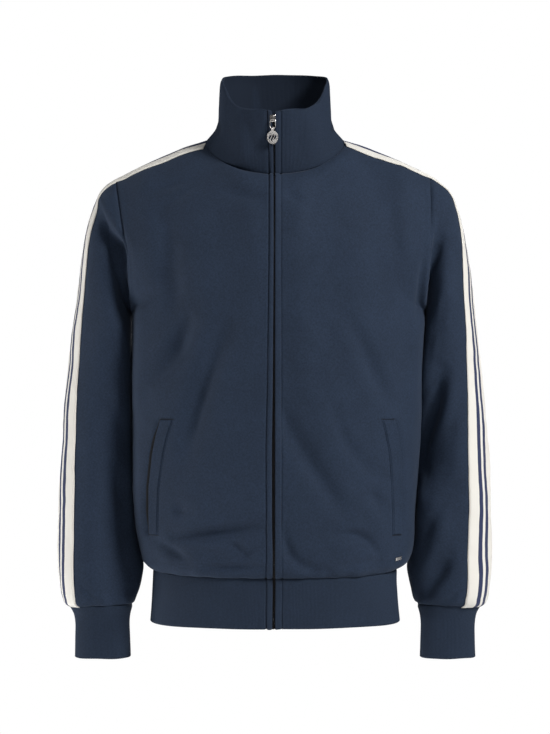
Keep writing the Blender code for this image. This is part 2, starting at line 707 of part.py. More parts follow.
def box(name, size, centre, finish, bevel=0.0):
    """A block with rounded edges."""
    mesh = bpy.data.meshes.new(name)
    shape = bmesh.new()
    bmesh.ops.create_cube(shape, size=1.0)
    bmesh.ops.scale(shape, vec=Vector(size), verts=shape.verts)
    shape.to_mesh(mesh)
    shape.free()
    made = place(name, mesh, finish, smooth=False)
    made.location = centre
    if bevel:
        rounding = made.modifiers.new("Rounded", "BEVEL")
        rounding.width = bevel
        rounding.segments = 2
    return made


def cylinder_along_x(name, radius, length, finish):
    """A short cylinder along X with capped ends."""
    mesh = bpy.data.meshes.new(name)
    shape = bmesh.new()
    bmesh.ops.create_cone(
        shape, cap_ends=True, segments=24, radius1=radius, radius2=radius, depth=length,
        matrix=Matrix.Rotation(math.pi / 2, 4, "Y"),
    )
    shape.to_mesh(mesh)
    shape.free()
    return place(name, mesh, finish)


def use_as_tool(target, tool, operation):
    """Joins a tool to its target or cuts it away, and hides the tool among the cutters."""
    change = target.modifiers.new(tool.name, "BOOLEAN")
    change.operation = operation
    change.object = tool
    change.solver = "EXACT"
    JACKET.objects.unlink(tool)
    CUTTERS.objects.link(tool)
    tool.hide_render = True
    tool.display_type = "WIRE"


def zip_frame():
    """The empty that carries the slider: on the collar's front line, leaning as the collar does."""
    share = (SLIDER_Z - NECK_FRONT_Z) / (COLLAR_TOP[0].z - NECK_FRONT_Z)
    y = NECK_FRONT_Y + (COLLAR_TOP[0].y - NECK_FRONT_Y) * share
    lean = math.atan2(COLLAR_TOP[0].y - NECK_FRONT_Y, COLLAR_TOP[0].z - NECK_FRONT_Z)
    frame = bpy.data.objects.new("zip_frame", None)
    frame.location = (zip_x(SLIDER_Z), y, SLIDER_Z)
    frame.rotation_euler = (-lean, 0, 0)
    JACKET.objects.link(frame)
    return frame


def make_slider(frame):
    """The slider: a plate in front of the cloth's edges, one behind the chain, a post and an arch."""
    width, depth, length = SLIDER_PLATE
    front_y = -(SEAM_GAP + depth / 2)
    slider = box("zip_slider", SLIDER_PLATE, (0, front_y, 0), METAL, bevel=0.5 * MM)
    back = box("slider_back", (width, 1.0 * MM, length), (0, SLIDER_BACK_Y, 0), METAL, bevel=0.3 * MM)
    post_width, post_length = SLIDER_POST
    post_reach = SLIDER_BACK_Y - front_y
    post_z = length / 2 - post_length / 2 - 0.6 * MM
    post_size = (post_width, post_reach, post_length)
    post = box("slider_post", post_size, (0, front_y + post_reach / 2, post_z), METAL)
    arch_y = front_y - depth / 2 - ARCH[1] / 2 + 0.5 * MM
    arch = box("slider_arch", ARCH, (0, arch_y, 0), METAL, bevel=0.6 * MM)
    window_y = front_y - depth / 2 - ARCH_WINDOW[0] / 2 - 0.02 * MM
    window = box("slider_window", (8 * MM, ARCH_WINDOW[0], ARCH_WINDOW[1]), (0, window_y, 0), METAL)
    use_as_tool(arch, window, "DIFFERENCE")
    for tool in (back, post, arch):
        use_as_tool(slider, tool, "UNION")
    for piece in (slider, back, post, arch, window):
        piece.parent = frame
    return frame.matrix_basis @ Vector((0, window_y, -ARCH_WINDOW[1] / 2 + LINK_WIRE + 0.35 * MM))


def make_link(pivot):
    """The pull's link: a closed ring of round wire, its origin in its top bar, on its hinge's axis."""
    corner = LINK_HALF_WIDTH * 0.62
    route = []
    for z_middle, start in ((-corner, 0.0), (-LINK_LENGTH + corner, math.pi)):
        for x_middle, quarter in ((LINK_HALF_WIDTH - corner, 0), (-LINK_HALF_WIDTH + corner, 1)):
            across = x_middle if start == 0.0 else -x_middle
            for step in range(5):
                turn = start + (quarter + step / 4) * math.pi / 2
                route.append((across + corner * math.cos(turn), 0, z_middle + corner * math.sin(turn)))
    curve = bpy.data.curves.new("pull_link", "CURVE")
    curve.dimensions = "3D"
    curve.bevel_depth = LINK_WIRE
    curve.bevel_resolution = 2
    spline = curve.splines.new("POLY")
    spline.points.add(len(route) - 1)
    for point, place_at in zip(spline.points, route):
        point.co = (*place_at, 1)
    spline.use_cyclic_u = True
    curve.materials.append(material(METAL))
    link = bpy.data.objects.new("pull_link", curve)
    JACKET.objects.link(link)
    link.location = pivot
    return link


def oval(curve, half_width, half_length, middle, slant=0.0, steps=28):
    """A closed oval in a flat curve."""
    spline = curve.splines.new("POLY")
    spline.points.add(steps - 1)
    for number, point in enumerate(spline.points):
        turn = 2 * math.pi * number / steps
        x, z = half_width * math.cos(turn), half_length * math.sin(turn)
        across = middle[0] + x * math.cos(slant) - z * math.sin(slant)
        up = middle[1] + x * math.sin(slant) + z * math.cos(slant)
        point.co = (across, up, 0, 1)
    spline.use_cyclic_u = True


def make_tab(link):
    """The pull's tab: an oval plate with three slanting slots, hung by a barrel on the link's foot."""
    curve = bpy.data.curves.new("tab_plate", "CURVE")
    curve.dimensions = "2D"
    curve.fill_mode = "BOTH"
    curve.extrude = TAB_WALL / 2
    middle = -(BARREL_RADIUS + TAB_NECK + TAB_HALF_LENGTH) + 1.2 * MM
    oval(curve, TAB_HALF_WIDTH, TAB_HALF_LENGTH, (0, middle))
    for offset, half_length in TAB_SLOTS:
        oval(curve, TAB_SLOT_HALF, half_length, (offset, middle), slant=-TAB_SLANT, steps=14)
    flat = bpy.data.objects.new("tab_plate", curve)
    JACKET.objects.link(flat)
    flat.rotation_euler = (math.pi / 2, 0, 0)
    bpy.context.view_layer.update()
    mesh = bpy.data.meshes.new_from_object(flat.evaluated_get(bpy.context.evaluated_depsgraph_get()))
    mesh.transform(flat.matrix_world)
    mesh.materials.clear()
    bpy.data.objects.remove(flat)
    shape = bmesh.new()
    shape.from_mesh(mesh)
    bmesh.ops.remove_doubles(shape, verts=shape.verts, dist=0.00001)
    bmesh.ops.recalc_face_normals(shape, faces=shape.faces)
    shape.to_mesh(mesh)
    shape.free()
    tab = place("pull_tab", mesh, METAL)
    neck_length = TAB_NECK + BARREL_RADIUS
    neck = box("tab_neck", (3.2 * MM, TAB_WALL, neck_length), (0, 0, -neck_length / 2 - 0.8 * MM), METAL)
    barrel = cylinder_along_x("tab_barrel", BARREL_RADIUS, BARREL_LENGTH, METAL)
    hole = cylinder_along_x("tab_hole", BARREL_HOLE, 2 * BARREL_LENGTH, METAL)
    use_as_tool(tab, neck, "UNION")
    use_as_tool(tab, barrel, "UNION")
    use_as_tool(tab, hole, "DIFFERENCE")
    tab.parent = link
    tab.location = (0, 0, -LINK_LENGTH)
    for tool in (neck, barrel, hole):
        tool.parent = tab


def make_torso():
    """Front panels and back, with their folds; returns the grids before the seams are drawn in."""
    fronts = {}
    for side in (LEFT, RIGHT):
        grid = half_panel(side, FRONT)
        inside = torso_axis(grid)
        grid = folded(grid, inside)
        fronts[side] = grid
        trimmed = drawn_in(grid, bottom=0.2 * MM, top=0.7 * MM, last=0.4 * MM)
        cloth(f"front_{SIDES[side]}", trimmed, BODY_WALL, NAVY, inside)
    left, right = half_panel(LEFT, BACK), half_panel(RIGHT, BACK)
    back = np.concatenate((right[:, ::-1], left[:, 1:]), axis=1)
    inside = torso_axis(back)
    back = folded(back, inside)
    trimmed = drawn_in(back, bottom=0.2 * MM, top=0.7 * MM, first=0.4 * MM, last=0.4 * MM)
    cloth("back", trimmed, BODY_WALL, NAVY, inside)
    return fronts, back


def tape_grid(side, front, back, sleeve):
    """A striped tape's grid, from the neck seam over the shoulder and down the sleeve to the cuff."""
    tape_rows = len(TAPE_STEPS)
    middle = NECK_COLUMNS + SHOULDER_COLUMNS
    half = back[:, middle:] if side == LEFT else back[:, middle::-1]
    shoulder = slice(NECK_COLUMNS, NECK_COLUMNS + SHOULDER_COLUMNS + 1)
    over_front = front[-tape_rows:, shoulder]
    over_back = half[-tape_rows:-1, shoulder][::-1]
    over = np.concatenate((over_front, over_back)).transpose(1, 0, 2)
    down = np.concatenate((sleeve[::-1, :tape_rows][:, ::-1], sleeve[::-1, :-tape_rows:-1]), axis=1)
    return np.concatenate((over[:-1], down))


def make_sleeves(fronts, back):
    """Sleeves, cuffs and the striped tapes."""
    for side in (LEFT, RIGHT):
        sleeve = sleeve_grid(side)
        middles = row_middles(sleeve)
        trimmed = drawn_in(sleeve, bottom=0.2 * MM, top=0.3 * MM)
        cloth(f"sleeve_{SIDES[side]}", trimmed, BODY_WALL, NAVY, middles, closed=True)
        cuff = cuff_grid(side)
        cloth(f"cuff_{SIDES[side]}", cuff, RIB_WALL, RIB, row_middles(cuff), closed=True)
        tape = tape_grid(side, fronts[side], back, sleeve)
        below = row_middles(tape) - (0, 0, 0.05)
        inside = below * (0.8, 1, 1)
        moved = laid_on(tape, inside, LAID_GAP, TAPE_WALL)
        trimmed = drawn_in(moved, bottom=0.8 * MM, top=0.4 * MM)
        cloth(f"tape_{SIDES[side]}", trimmed, TAPE_WALL, TAPE, inside)


def make_collar_and_band():
    """The stand collar and the waistband."""
    collar = collar_grid()
    trimmed = drawn_in(collar, bottom=0.9 * MM)
    cloth("collar", trimmed, RIB_WALL, RIB, torso_axis(collar))
    band = band_grid()
    cloth("waistband", band, RIB_WALL, RIB, torso_axis(band))
    return collar, band


def make_zip(fronts, collar, band):
    """The zip's tapes and closed chain behind the front edges."""
    chain_halves = []
    for side in (LEFT, RIGHT):
        pieces = (sides_of(band, side), fronts[side][BLOUSE_ROWS:], sides_of(collar, side)[1:])
        edge = np.concatenate([piece[:, :2] for piece in pieces])
        strip = zip_strip(edge, 0.08, 0.92)
        cloth(f"zip_tape_{SIDES[side]}", strip, ZIP_TAPE_WALL, ZIP_CLOTH, torso_axis(strip))
        chain_halves.append(zip_strip(edge, 0.0, 0.0)[:, 0])
    middle = (chain_halves[0] + chain_halves[1]) / 2
    middle = middle[middle[:, 2] < SLIDER_Z + 0.5 * MM]
    chain = np.stack((middle - (CHAIN_HALF_WIDTH, 0, 0), middle + (CHAIN_HALF_WIDTH, 0, 0)), axis=1)
    cloth("zip_chain", chain, CHAIN_WALL, ZIP_TEETH, torso_axis(chain))


def make_trim(fronts):
    """Pocket welts and the small metal plate near the left side seam."""
    for side in (LEFT, RIGHT):
        welt = welt_grid(fronts[side], side)
        cloth(f"pocket_welt_{SIDES[side]}", welt, WELT_WALL, NAVY, torso_axis(welt))
    point, normal = front_point(fronts[LEFT], SIDE_PLATE_X, SIDE_PLATE_Z)
    centre = point + normal * (LAID_GAP + SIDE_PLATE[1] / 2)
    plate = box("side_plate", SIDE_PLATE, centre, METAL, bevel=0.3 * MM)
    facing = Vector(-normal).to_track_quat("Y", "Z").to_matrix()
    plate.rotation_euler = (facing @ Matrix.Rotation(-SIDE_PLATE_TILT, 3, "Y")).to_euler()


def make_pull():
    """The slider with its link and tab."""
    make_tab(make_link(make_slider(zip_frame())))


def make_jacket():
    """All the jacket's pieces."""
    fronts, back = make_torso()
    make_sleeves(fronts, back)
    collar, band = make_collar_and_band()
    make_zip(fronts, collar, band)
    make_trim(fronts)
    make_pull()


for old in list(bpy.data.objects):
    bpy.data.objects.remove(old)
JACKET = collection("track_jacket")
CUTTERS = collection("cutters")
make_jacket()
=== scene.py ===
"""Dresses the zip-front track jacket, size M, in the hollow form it has when worn.

Frame: metres, +Z up, the front faces -Y and the wearer's left is at +X. Each cloth piece is a fine grid of
points run smoothly through the lines of its cut, with its seams, ribs, folds and creases laid on them.
"""

import logging
import math
from dataclasses import dataclass
from enum import Enum

import bmesh
import bpy
import numpy as np
from mathutils import Matrix, Vector


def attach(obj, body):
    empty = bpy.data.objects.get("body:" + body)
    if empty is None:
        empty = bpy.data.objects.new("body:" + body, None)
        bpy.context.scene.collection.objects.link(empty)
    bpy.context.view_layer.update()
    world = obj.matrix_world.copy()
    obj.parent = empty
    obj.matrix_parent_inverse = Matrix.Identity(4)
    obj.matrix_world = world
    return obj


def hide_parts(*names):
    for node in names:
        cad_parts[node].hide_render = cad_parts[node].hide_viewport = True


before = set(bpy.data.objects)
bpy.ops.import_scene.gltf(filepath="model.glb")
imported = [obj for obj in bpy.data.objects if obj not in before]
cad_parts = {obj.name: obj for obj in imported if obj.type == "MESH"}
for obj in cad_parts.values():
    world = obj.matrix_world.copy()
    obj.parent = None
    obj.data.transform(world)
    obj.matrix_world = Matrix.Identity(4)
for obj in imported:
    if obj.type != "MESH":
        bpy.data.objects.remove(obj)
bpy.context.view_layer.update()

MM = 0.001
SMOOTH_STEPS = 60
EDGE_STEPS = np.array((0.7, 1.5, 2.6, 4.0, 6.0)) * MM
Grid = np.ndarray
Table = tuple[tuple[float, ...], ...]
log = logging.getLogger("track_jacket")


class Side(Enum):
    """The wearer's sides, as signs of X."""

    LEFT = 1
    RIGHT = -1

    @property
    def word(self) -> str:
        """The side's word in the names of pieces."""
        return self.name.lower()

    def pick(self, pair: tuple) -> object:
        """This side's one of a (left, right) pair."""
        return pair[0] if self is Side.LEFT else pair[1]


class Face(Enum):
    """The jacket's front and back, as signs of Y."""

    FRONT = -1
    BACK = 1


FRONT, BACK = Face.FRONT, Face.BACK


def lengths_along(points: Grid) -> Grid:
    """Distance from the first point to each point of a line."""
    return np.concatenate(([0.0], np.cumsum(np.linalg.norm(np.diff(points, axis=0), axis=1))))


def sampled(stops: Grid, along: Grid, points: Grid) -> Grid:
    """Points or directions on a line at stops, straight between those known along it."""
    return np.stack([np.interp(stops, along, points[:, axis]) for axis in range(3)], axis=1)


def at_distances(points: Grid, distances: Grid) -> Grid:
    """Points of a line at the given distances along it."""
    return sampled(distances, lengths_along(points), points)


def metres(*rows: tuple[float, ...], whole: int = 0) -> Table:
    """Rows of millimetres in metres, apart from so many last values of each, which stay whole."""
    parts = ((row[:len(row) - whole], row[len(row) - whole:]) for row in rows)
    return tuple((*(value / 1000 for value in scaled), *kept) for scaled, kept in parts)


def table_value(table: Table, column: int, place: float | Grid) -> float | Grid:
    """A table's column at a place by its column 0, mostly a height, straight between its rows."""
    rows = np.array(sorted(table))
    return np.interp(place, rows[:, 0], rows[:, column])


def superellipse(power: float, turn: Grid) -> tuple[Grid, Grid]:
    """Sine and cosine of turn, bent to a superellipse of this power."""
    sine, cosine = np.sin(turn), np.cos(turn)
    return np.sign(sine) * np.abs(sine) ** (2 / power), np.sign(cosine) * np.abs(cosine) ** (2 / power)


def bell(distance: Grid, reach: float) -> Grid:
    """1 at no distance, falling smoothly to nothing past about twice the reach."""
    return np.exp(-((distance / reach) ** 2))


def beside(distance: Grid, band: tuple[float, float]) -> Grid:
    """1 at the band's own distance from a seam, falling smoothly to nothing over its reach."""
    return bell(distance - band[0], band[1])


def rising(value: Grid, start: float, end: float) -> Grid:
    """0 before start, 1 after end, and smooth between."""
    share = np.clip((value - start) / (end - start), 0, 1)
    return share * share * (3 - 2 * share)


@dataclass(frozen=True)
class Waves:
    """Uneven soft waves in cloth, in any direction, drawn out along the piece by a squash below 1."""

    length: float
    height: float
    seed: int
    squash: float = 1.0
    count: int = 7

    def lift(self, across: Grid, along: Grid, side: Side | None = None) -> Grid:
        """How far the waves lift points.

        Args:
            across: the points' distances across the piece.
            along: their distances along it.
            side: the wearer's side, where each side has waves of its own.

        Returns:
            The lifts, mostly between the waves' height down and up.
        """
        draw = np.random.default_rng(self.seed + (side.value if side else 0))
        total = np.zeros(np.broadcast(across, along).shape)
        for _ in range(self.count):
            turn, stretch = draw.uniform(0, math.pi), draw.uniform(0.7, 1.7)
            phase = draw.uniform(0, 2 * math.pi)
            distance = across * math.cos(turn) + along * self.squash * math.sin(turn)
            total += np.sin(2 * math.pi * distance / (self.length * stretch) + phase)
        return total / math.sqrt(self.count) * self.height


@dataclass(frozen=True)
class Seam:
    """A seam's rolled-in edge, and the swell of cloth at a distance beside it where there is one."""

    depth: float
    reach: float
    swell: float = 0.0
    away: float = 0.0
    width: float = 1.0

    def lift(self, distance: Grid) -> Grid:
        """How far the cloth stands out at distances from the seam."""
        swell = self.swell * beside(distance, (self.away, self.width))
        return swell - self.depth * bell(distance, self.reach)


def mean_steps(points: Grid) -> Grid:
    """Mean distance from each row of points to the next."""
    return np.linalg.norm(np.diff(points, axis=0), axis=-1).mean(axis=1)


def places_along(points: Grid, spacing: float, fine_ends: tuple[bool, bool] = (True, True)) -> Grid:
    """Places along the rows of a grid about a spacing apart, in row numbers, closer together at seams.

    Args:
        points: the grid, whose rows are all among the places.
        spacing: the distance aimed at, in metres.
        fine_ends: whether the first and the last row lie at a seam.

    Returns:
        The places in order.
    """
    steps = mean_steps(points)
    places = []
    for number, length in enumerate(steps):
        count = max(1, math.ceil(length / spacing))
        parts = np.arange(count) / count
        near = EDGE_STEPS[EDGE_STEPS < 0.8 * length] / length
        if number == 0 and fine_ends[0] and len(near):
            parts = np.concatenate(([0.0], near, parts[parts > near[-1] + 0.4 / count]))
        if number == len(steps) - 1 and fine_ends[1] and len(near):
            parts = np.concatenate((parts[parts < 1 - near[-1] - 0.4 / count], 1 - near[::-1]))
        places.append(number + parts)
    return np.concatenate((*places, [len(steps)]))


def through(points: Grid, places: Grid, corners: dict[int, Grid] | None = None) -> Grid:
    """Smooth lines through the rows of a grid.

    Args:
        points: the grid that the lines pass through, row after row.
        places: where to take their points, in row numbers.
        corners: numbers of rows at which lines turn sharply, with how sharply for each line.

    Returns:
        The grid of the points at those places.
    """
    steps = np.diff(points, axis=0)
    span = np.sqrt(np.maximum(mean_steps(points), 1e-9))[:, None, None]
    slope = steps / span
    inner = (slope[1:] * span[:-1] + slope[:-1] * span[1:]) / (span[1:] + span[:-1])
    first, last = 1.5 * slope[:1] - 0.5 * inner[:1], 1.5 * slope[-1:] - 0.5 * inner[-1:]
    tangent = np.concatenate((first, inner, last))
    arriving, leaving = tangent.copy(), tangent.copy()
    for number, sharpness in (corners or {}).items():
        arriving[number] += (slope[number - 1] - tangent[number]) * sharpness[:, None]
        leaving[number] += (slope[number] - tangent[number]) * sharpness[:, None]
    start = np.minimum(places.astype(int), len(points) - 2)
    part = (places - start)[:, None, None]
    reach = span[start]
    return (
        (2 * part ** 3 - 3 * part ** 2 + 1) * points[start]
        + (part ** 3 - 2 * part ** 2 + part) * reach * leaving[start]
        + (3 * part ** 2 - 2 * part ** 3) * points[start + 1]
        + (part ** 3 - part ** 2) * reach * arriving[start + 1]
    )


def across_first(grid: Grid) -> Grid:
    """The grid with its rows and columns changed over."""
    return grid.transpose(1, 0, 2)


def through_closed(grid: Grid, places: Grid) -> Grid:
    """Smooth closed rings through the columns of a grid, at places counted in columns."""
    wide = np.concatenate((grid[:, -2:], grid, grid[:, :3]), axis=1)
    return across_first(through(across_first(wide), places + 2))


def normals_of(grid: Grid, inside: Grid, closed: bool = False) -> Grid:
    """Unit normals of a grid's points, away from its inside.

    Args:
        grid: rows of points.
        inside: a point for each row, on the cloth's inner side.
        closed: whether the rows run round.

    Returns:
        One normal for each point.
    """
    if closed:
        wide = np.concatenate((grid[:, -1:], grid, grid[:, :1]), axis=1)
        across = wide[:, 2:] - wide[:, :-2]
    else:
        across = np.gradient(grid, axis=1)
    normals = np.cross(across, np.gradient(grid, axis=0))
    normals /= np.maximum(np.linalg.norm(normals, axis=2, keepdims=True), 1e-12)
    away = grid - np.asarray(inside)[:, None, :]
    return normals if float(np.sum(normals * away)) > 0 else -normals


def travel(grid: Grid) -> tuple[Grid, Grid]:
    """Distances of a grid's points from its first column, along the rows, and from its first row."""
    across = np.linalg.norm(np.diff(grid, axis=1), axis=2)
    up = np.linalg.norm(np.diff(grid, axis=0), axis=2)
    return np.pad(across.cumsum(axis=1), ((0, 0), (1, 0))), np.pad(up.cumsum(axis=0), ((1, 0), (0, 0)))


@dataclass(frozen=True)
class Cut:
    """The lines that the jacket's pieces share: torso rows, neckline, shoulders, armholes and zip."""

    neck_half_width: float = 0.0975
    neck_point_y: float = 0.005
    neck_front: tuple[float, float] = (-0.075, -0.052)
    neck_back: tuple[float, float] = (0.063, 0.01)
    shoulder_points: Table = ((0.2175, 0.01, -0.048), (0.2235, 0.01, -0.0535))
    shoulder_curve: float = 1.2
    side_seam_y: float = 0.005
    underarm_z: float = -0.24
    notch_z: float = -0.155
    notch_front_y: float = -0.052
    notch_back_y: float = 0.078
    notch_turn: float = 0.35
    tape_steps: tuple[float, ...] = (0.0, 0.01375, 0.0275)
    placket: float = 0.0125
    # Heights, with half the gap between the front edges and with the zip's own X.
    zip_gap: Table = metres(
        (-680, 1.9), (-600, 1.9), (-575, 1.4), (-420, 1.2), (-330, 0.9), (-150, 0.7), (40, 0.8),
    )
    zip_line: Table = metres(
        (-680, -1.8), (-646, -1.9), (-616, -1), (-569, -1.8), (-522, -2.7), (-428, -2.9), (-333, -2),
        (-226, -1.4), (-145, -1), (-20, -1.4), (40, -4),
    )
    # Heights, then right and left half widths, and depths in front and behind.
    torso: Table = metres(
        (-602.2, 170, 170, 106.5, 102), (-598.5, 178.5, 178, 113, 107.5), (-593.5, 184.5, 184.5, 116.2, 111),
        (-583, 186.8, 188.5, 117.8, 112.8), (-565, 190.5, 193, 118.2, 113.8), (-545, 194.5, 195.5, 118, 114),
        (-515, 197.2, 197, 118, 114), (-470, 198.8, 200, 118.5, 114), (-420, 199.5, 203.5, 119.5, 114.5),
        (-360, 200.2, 205.8, 121, 115.5), (-300, 200.3, 207.2, 123, 117), (-240, 200.5, 209.4, 124.5, 118),
        (-155, 204, 215, 124, 117),
    )
    torso_power: float = 2.3
    side_rise: Table = metres((-650, 0), (-602.5, 5), (-590, 4), (-570, 0))
    torso_levels: tuple[float, ...] = (
        -0.6022, -0.5975, -0.5915, -0.583, -0.565, -0.545, -0.518, -0.49, -0.46, -0.43,
        -0.4, -0.37, -0.34, -0.31, -0.275, -0.24,
    )
    armhole_steps: tuple[float, ...] = (1 / 3, 2 / 3, 1.0)
    yoke_rows: int = 5
    yoke_front: tuple[float, ...] = (1.5, 1.4, 1.75)
    yoke_back: tuple[float, ...] = (1.7, 1.7, 1.9)
    neck_columns: int = 6
    shoulder_columns: int = 6
    shoulder_share: float = 0.36
    ease_passes: int = 3
    ease_reach: int = 3
    ease_from_row: int = 11

    def zip_x(self, z: float) -> float:
        """X of the zip's line at height z."""
        return table_value(self.zip_line, 1, z)

    def half_width(self, side: Side, z: float) -> float:
        """The torso's half width at height z."""
        return table_value(self.torso, side.pick((2, 1)), z)

    def depth(self, face: Face, z: float) -> float:
        """The torso's depth in front or behind at height z."""
        return table_value(self.torso, 3 if face is FRONT else 4, z)

    def armhole_edge(self, side: Side, face: Face, step: float) -> Grid:
        """A point of the armhole's lower part.

        Args:
            side: the wearer's side.
            face: front or back.
            step: how far up from the underarm (0) to the notch (1).

        Returns:
            The point.
        """
        turn = step * math.pi / 2
        notch_y = self.notch_front_y if face is FRONT else self.notch_back_y
        y = self.side_seam_y + (notch_y - self.side_seam_y) * math.sin(turn)
        z = self.underarm_z + (self.notch_z - self.underarm_z) * (1 - math.cos(turn))
        return np.array((side.value * self.half_width(side, z), y, z))

    def side_rise_at(self, z: float) -> float:
        """How much higher the hem's rows lie at the side seams than in the middle."""
        return table_value(self.side_rise, 1, z)

    def torso_row(self, side: Side, face: Face, z: float, step: float = 0.0) -> Grid:
        """One side's row of the torso.

        Args:
            side: the wearer's side.
            face: front or back.
            z: the row's height in the middle.
            step: how far up the armhole it ends, or 0 at the side seam.

        Returns:
            Its dense points, from the middle out.
        """
        depth = face.value * self.depth(face, z)
        if step > 0:
            end = self.armhole_edge(side, face, step)
        else:
            end = np.array((side.value * self.half_width(side, z), self.side_seam_y, z))
        share = 1 + (self.notch_turn - 1) * math.sin(step * math.pi / 2)
        turn = np.linspace(0, math.asin(math.sqrt(share)), SMOOTH_STEPS)
        across = (np.sin(turn) ** 2 / share) ** (1 / self.torso_power)
        inward = 1 - np.cos(turn) ** (2 / self.torso_power)
        inward /= inward[-1]
        level = z + (end[2] - z) * across ** 4 + self.side_rise_at(z) * across ** 6
        return np.stack([end[0] * across, depth + (end[1] - depth) * inward, level], axis=1)

    def from_zip_edge(self, points: Grid, side: Side) -> Grid:
        """The part of a row that starts at the front edge beside the zip."""
        reached = np.maximum.accumulate(side.value * (points[:, 0] - self.zip_x(points[0][2])))
        gap = table_value(self.zip_gap, 1, points[0][2])
        along = lengths_along(points)
        return at_distances(points, np.linspace(np.interp(gap, reached, along), along[-1], SMOOTH_STEPS * 2))

    def neckline(self, side: Side, face: Face, turn: Grid) -> Grid:
        """Points of the neck seam, from the middle (0) to the shoulder line (a right angle)."""
        middle_y, middle_z = self.neck_front if face is FRONT else self.neck_back
        cosine = np.abs(np.cos(turn))
        return np.stack([
            side.value * self.neck_half_width * np.sin(turn),
            self.neck_point_y + (middle_y - self.neck_point_y) * cosine,
            middle_z * cosine ** 1.1,
        ], axis=1)

    def shoulder_line(self, side: Side, share: Grid) -> Grid:
        """Points of the shoulder line from the neck (0) to the armhole (1)."""
        x, y, z = side.pick(self.shoulder_points)
        return np.stack([
            side.value * (self.neck_half_width + (x - self.neck_half_width) * share),
            self.neck_point_y + (y - self.neck_point_y) * share,
            z * share ** self.shoulder_curve,
        ], axis=1)

    def row_distances(self, total: float, face: Face) -> Grid:
        """Distances of a lower row's columns, which line up with the neck's and the shoulder's."""
        first = self.placket if face is FRONT else 0.0
        corner = first + (total - first) * self.shoulder_share
        neck = self.neck_distances(corner, face)
        return np.concatenate((neck, np.linspace(corner, total, self.shoulder_columns + 1)[1:]))

    def neck_distances(self, total: float, face: Face) -> Grid:
        """Distances of the columns that end on the neckline, the first of a front being its placket's."""
        if face is FRONT:
            return np.concatenate(([0.0], np.linspace(self.placket, total, self.neck_columns)))
        return np.linspace(0, total, self.neck_columns + 1)

    def top_row(self, side: Side, face: Face) -> Grid:
        """A half panel's top edge: along the neckline, then along the shoulder line.

        Args:
            side: the wearer's side.
            face: front or back.

        Returns:
            One point for each column.
        """
        neck = self.neckline(side, face, np.linspace(0, math.pi / 2, SMOOTH_STEPS))
        if face is FRONT:
            neck = self.from_zip_edge(neck, side)
        neck = at_distances(neck, self.neck_distances(lengths_along(neck)[-1], face))
        shares = np.linspace(0, 1, self.shoulder_columns + 1)[1:]
        return np.concatenate((neck, self.shoulder_line(side, shares)))

    def yoke_column(self, base: Grid, top: Grid, power: float) -> Grid:
        """A smooth line up over the chest or the shoulder blade, from base to top."""
        across, up = superellipse(power, np.linspace(math.pi / 2, 0, SMOOTH_STEPS))
        return np.stack([
            base[0] + (top[0] - base[0]) * up,
            top[1] + (base[1] - top[1]) * across,
            base[2] + (top[2] - base[2]) * up,
        ], axis=1)

    def half_panel(self, side: Side, face: Face) -> Grid:
        """One side of the front or the back.

        Args:
            side: the wearer's side.
            face: front or back.

        Returns:
            Its grid, rows from the hem up, columns from the middle out.
        """
        levels = [(z, 0.0) for z in self.torso_levels]
        rise = self.notch_z - self.underarm_z
        levels += [(self.underarm_z + rise * step, step) for step in self.armhole_steps]
        rows = []
        for z, step in levels:
            line = self.torso_row(side, face, z, step)
            if face is FRONT:
                line = self.from_zip_edge(line, side)
            rows.append(at_distances(line, self.row_distances(lengths_along(line)[-1], face)))
        fullness = self.yoke_front if face is FRONT else self.yoke_back
        stops = (0, self.neck_columns, self.neck_columns + self.shoulder_columns)
        columns = []
        for number, (base, top) in enumerate(zip(rows[-1], self.top_row(side, face))):
            line = self.yoke_column(base, top, float(np.interp(number, stops, fullness)))[::-1]
            below = np.linspace(self.tape_steps[-1], lengths_along(line)[-1], self.yoke_rows + 1)[1:-1]
            columns.append(at_distances(line, np.concatenate((self.tape_steps, below)))[::-1])
        return self.eased(np.concatenate((np.stack(rows), np.stack(columns, axis=1))))

    def eased(self, grid: Grid) -> Grid:
        """Runs the yoke's corner and the underarm's level smoothly into the rest of a half panel.

        Args:
            grid: the half panel's grid, which is changed.

        Returns:
            The same grid.
        """
        yoke, chest = grid[1:-1], grid[self.ease_from_row:-2]
        near = slice(self.neck_columns - self.ease_reach, self.neck_columns + self.ease_reach + 1)
        for _ in range(self.ease_passes):
            sag = 0.25 * (np.roll(yoke, 1, 1) + np.roll(yoke, -1, 1) - 2 * yoke)
            yoke[:, near] += sag[:, near]
            bend = 0.25 * (chest[2:] + chest[:-2] - 2 * chest[1:-1])
            chest[1:-1, near] += bend[:, near]
        return grid

    def side_of_torso(self, side: Side, y: float, z: float) -> float:
        """Half width of the torso's side at a depth and height."""
        face = FRONT if y < self.side_seam_y else BACK
        depth = abs(face.value * self.depth(face, z) - self.side_seam_y)
        share = min(abs(y - self.side_seam_y) / depth, 1.0)
        return self.half_width(side, z) * (1 - share ** self.torso_power) ** (1 / self.torso_power)

    def inside(self, grid: Grid) -> Grid:
        """A point inside the torso for each row of a grid."""
        levels = np.minimum(grid[:, :, 2].mean(axis=1), self.notch_z)
        return np.stack([np.zeros(len(grid)), np.zeros(len(grid)), levels], axis=1)


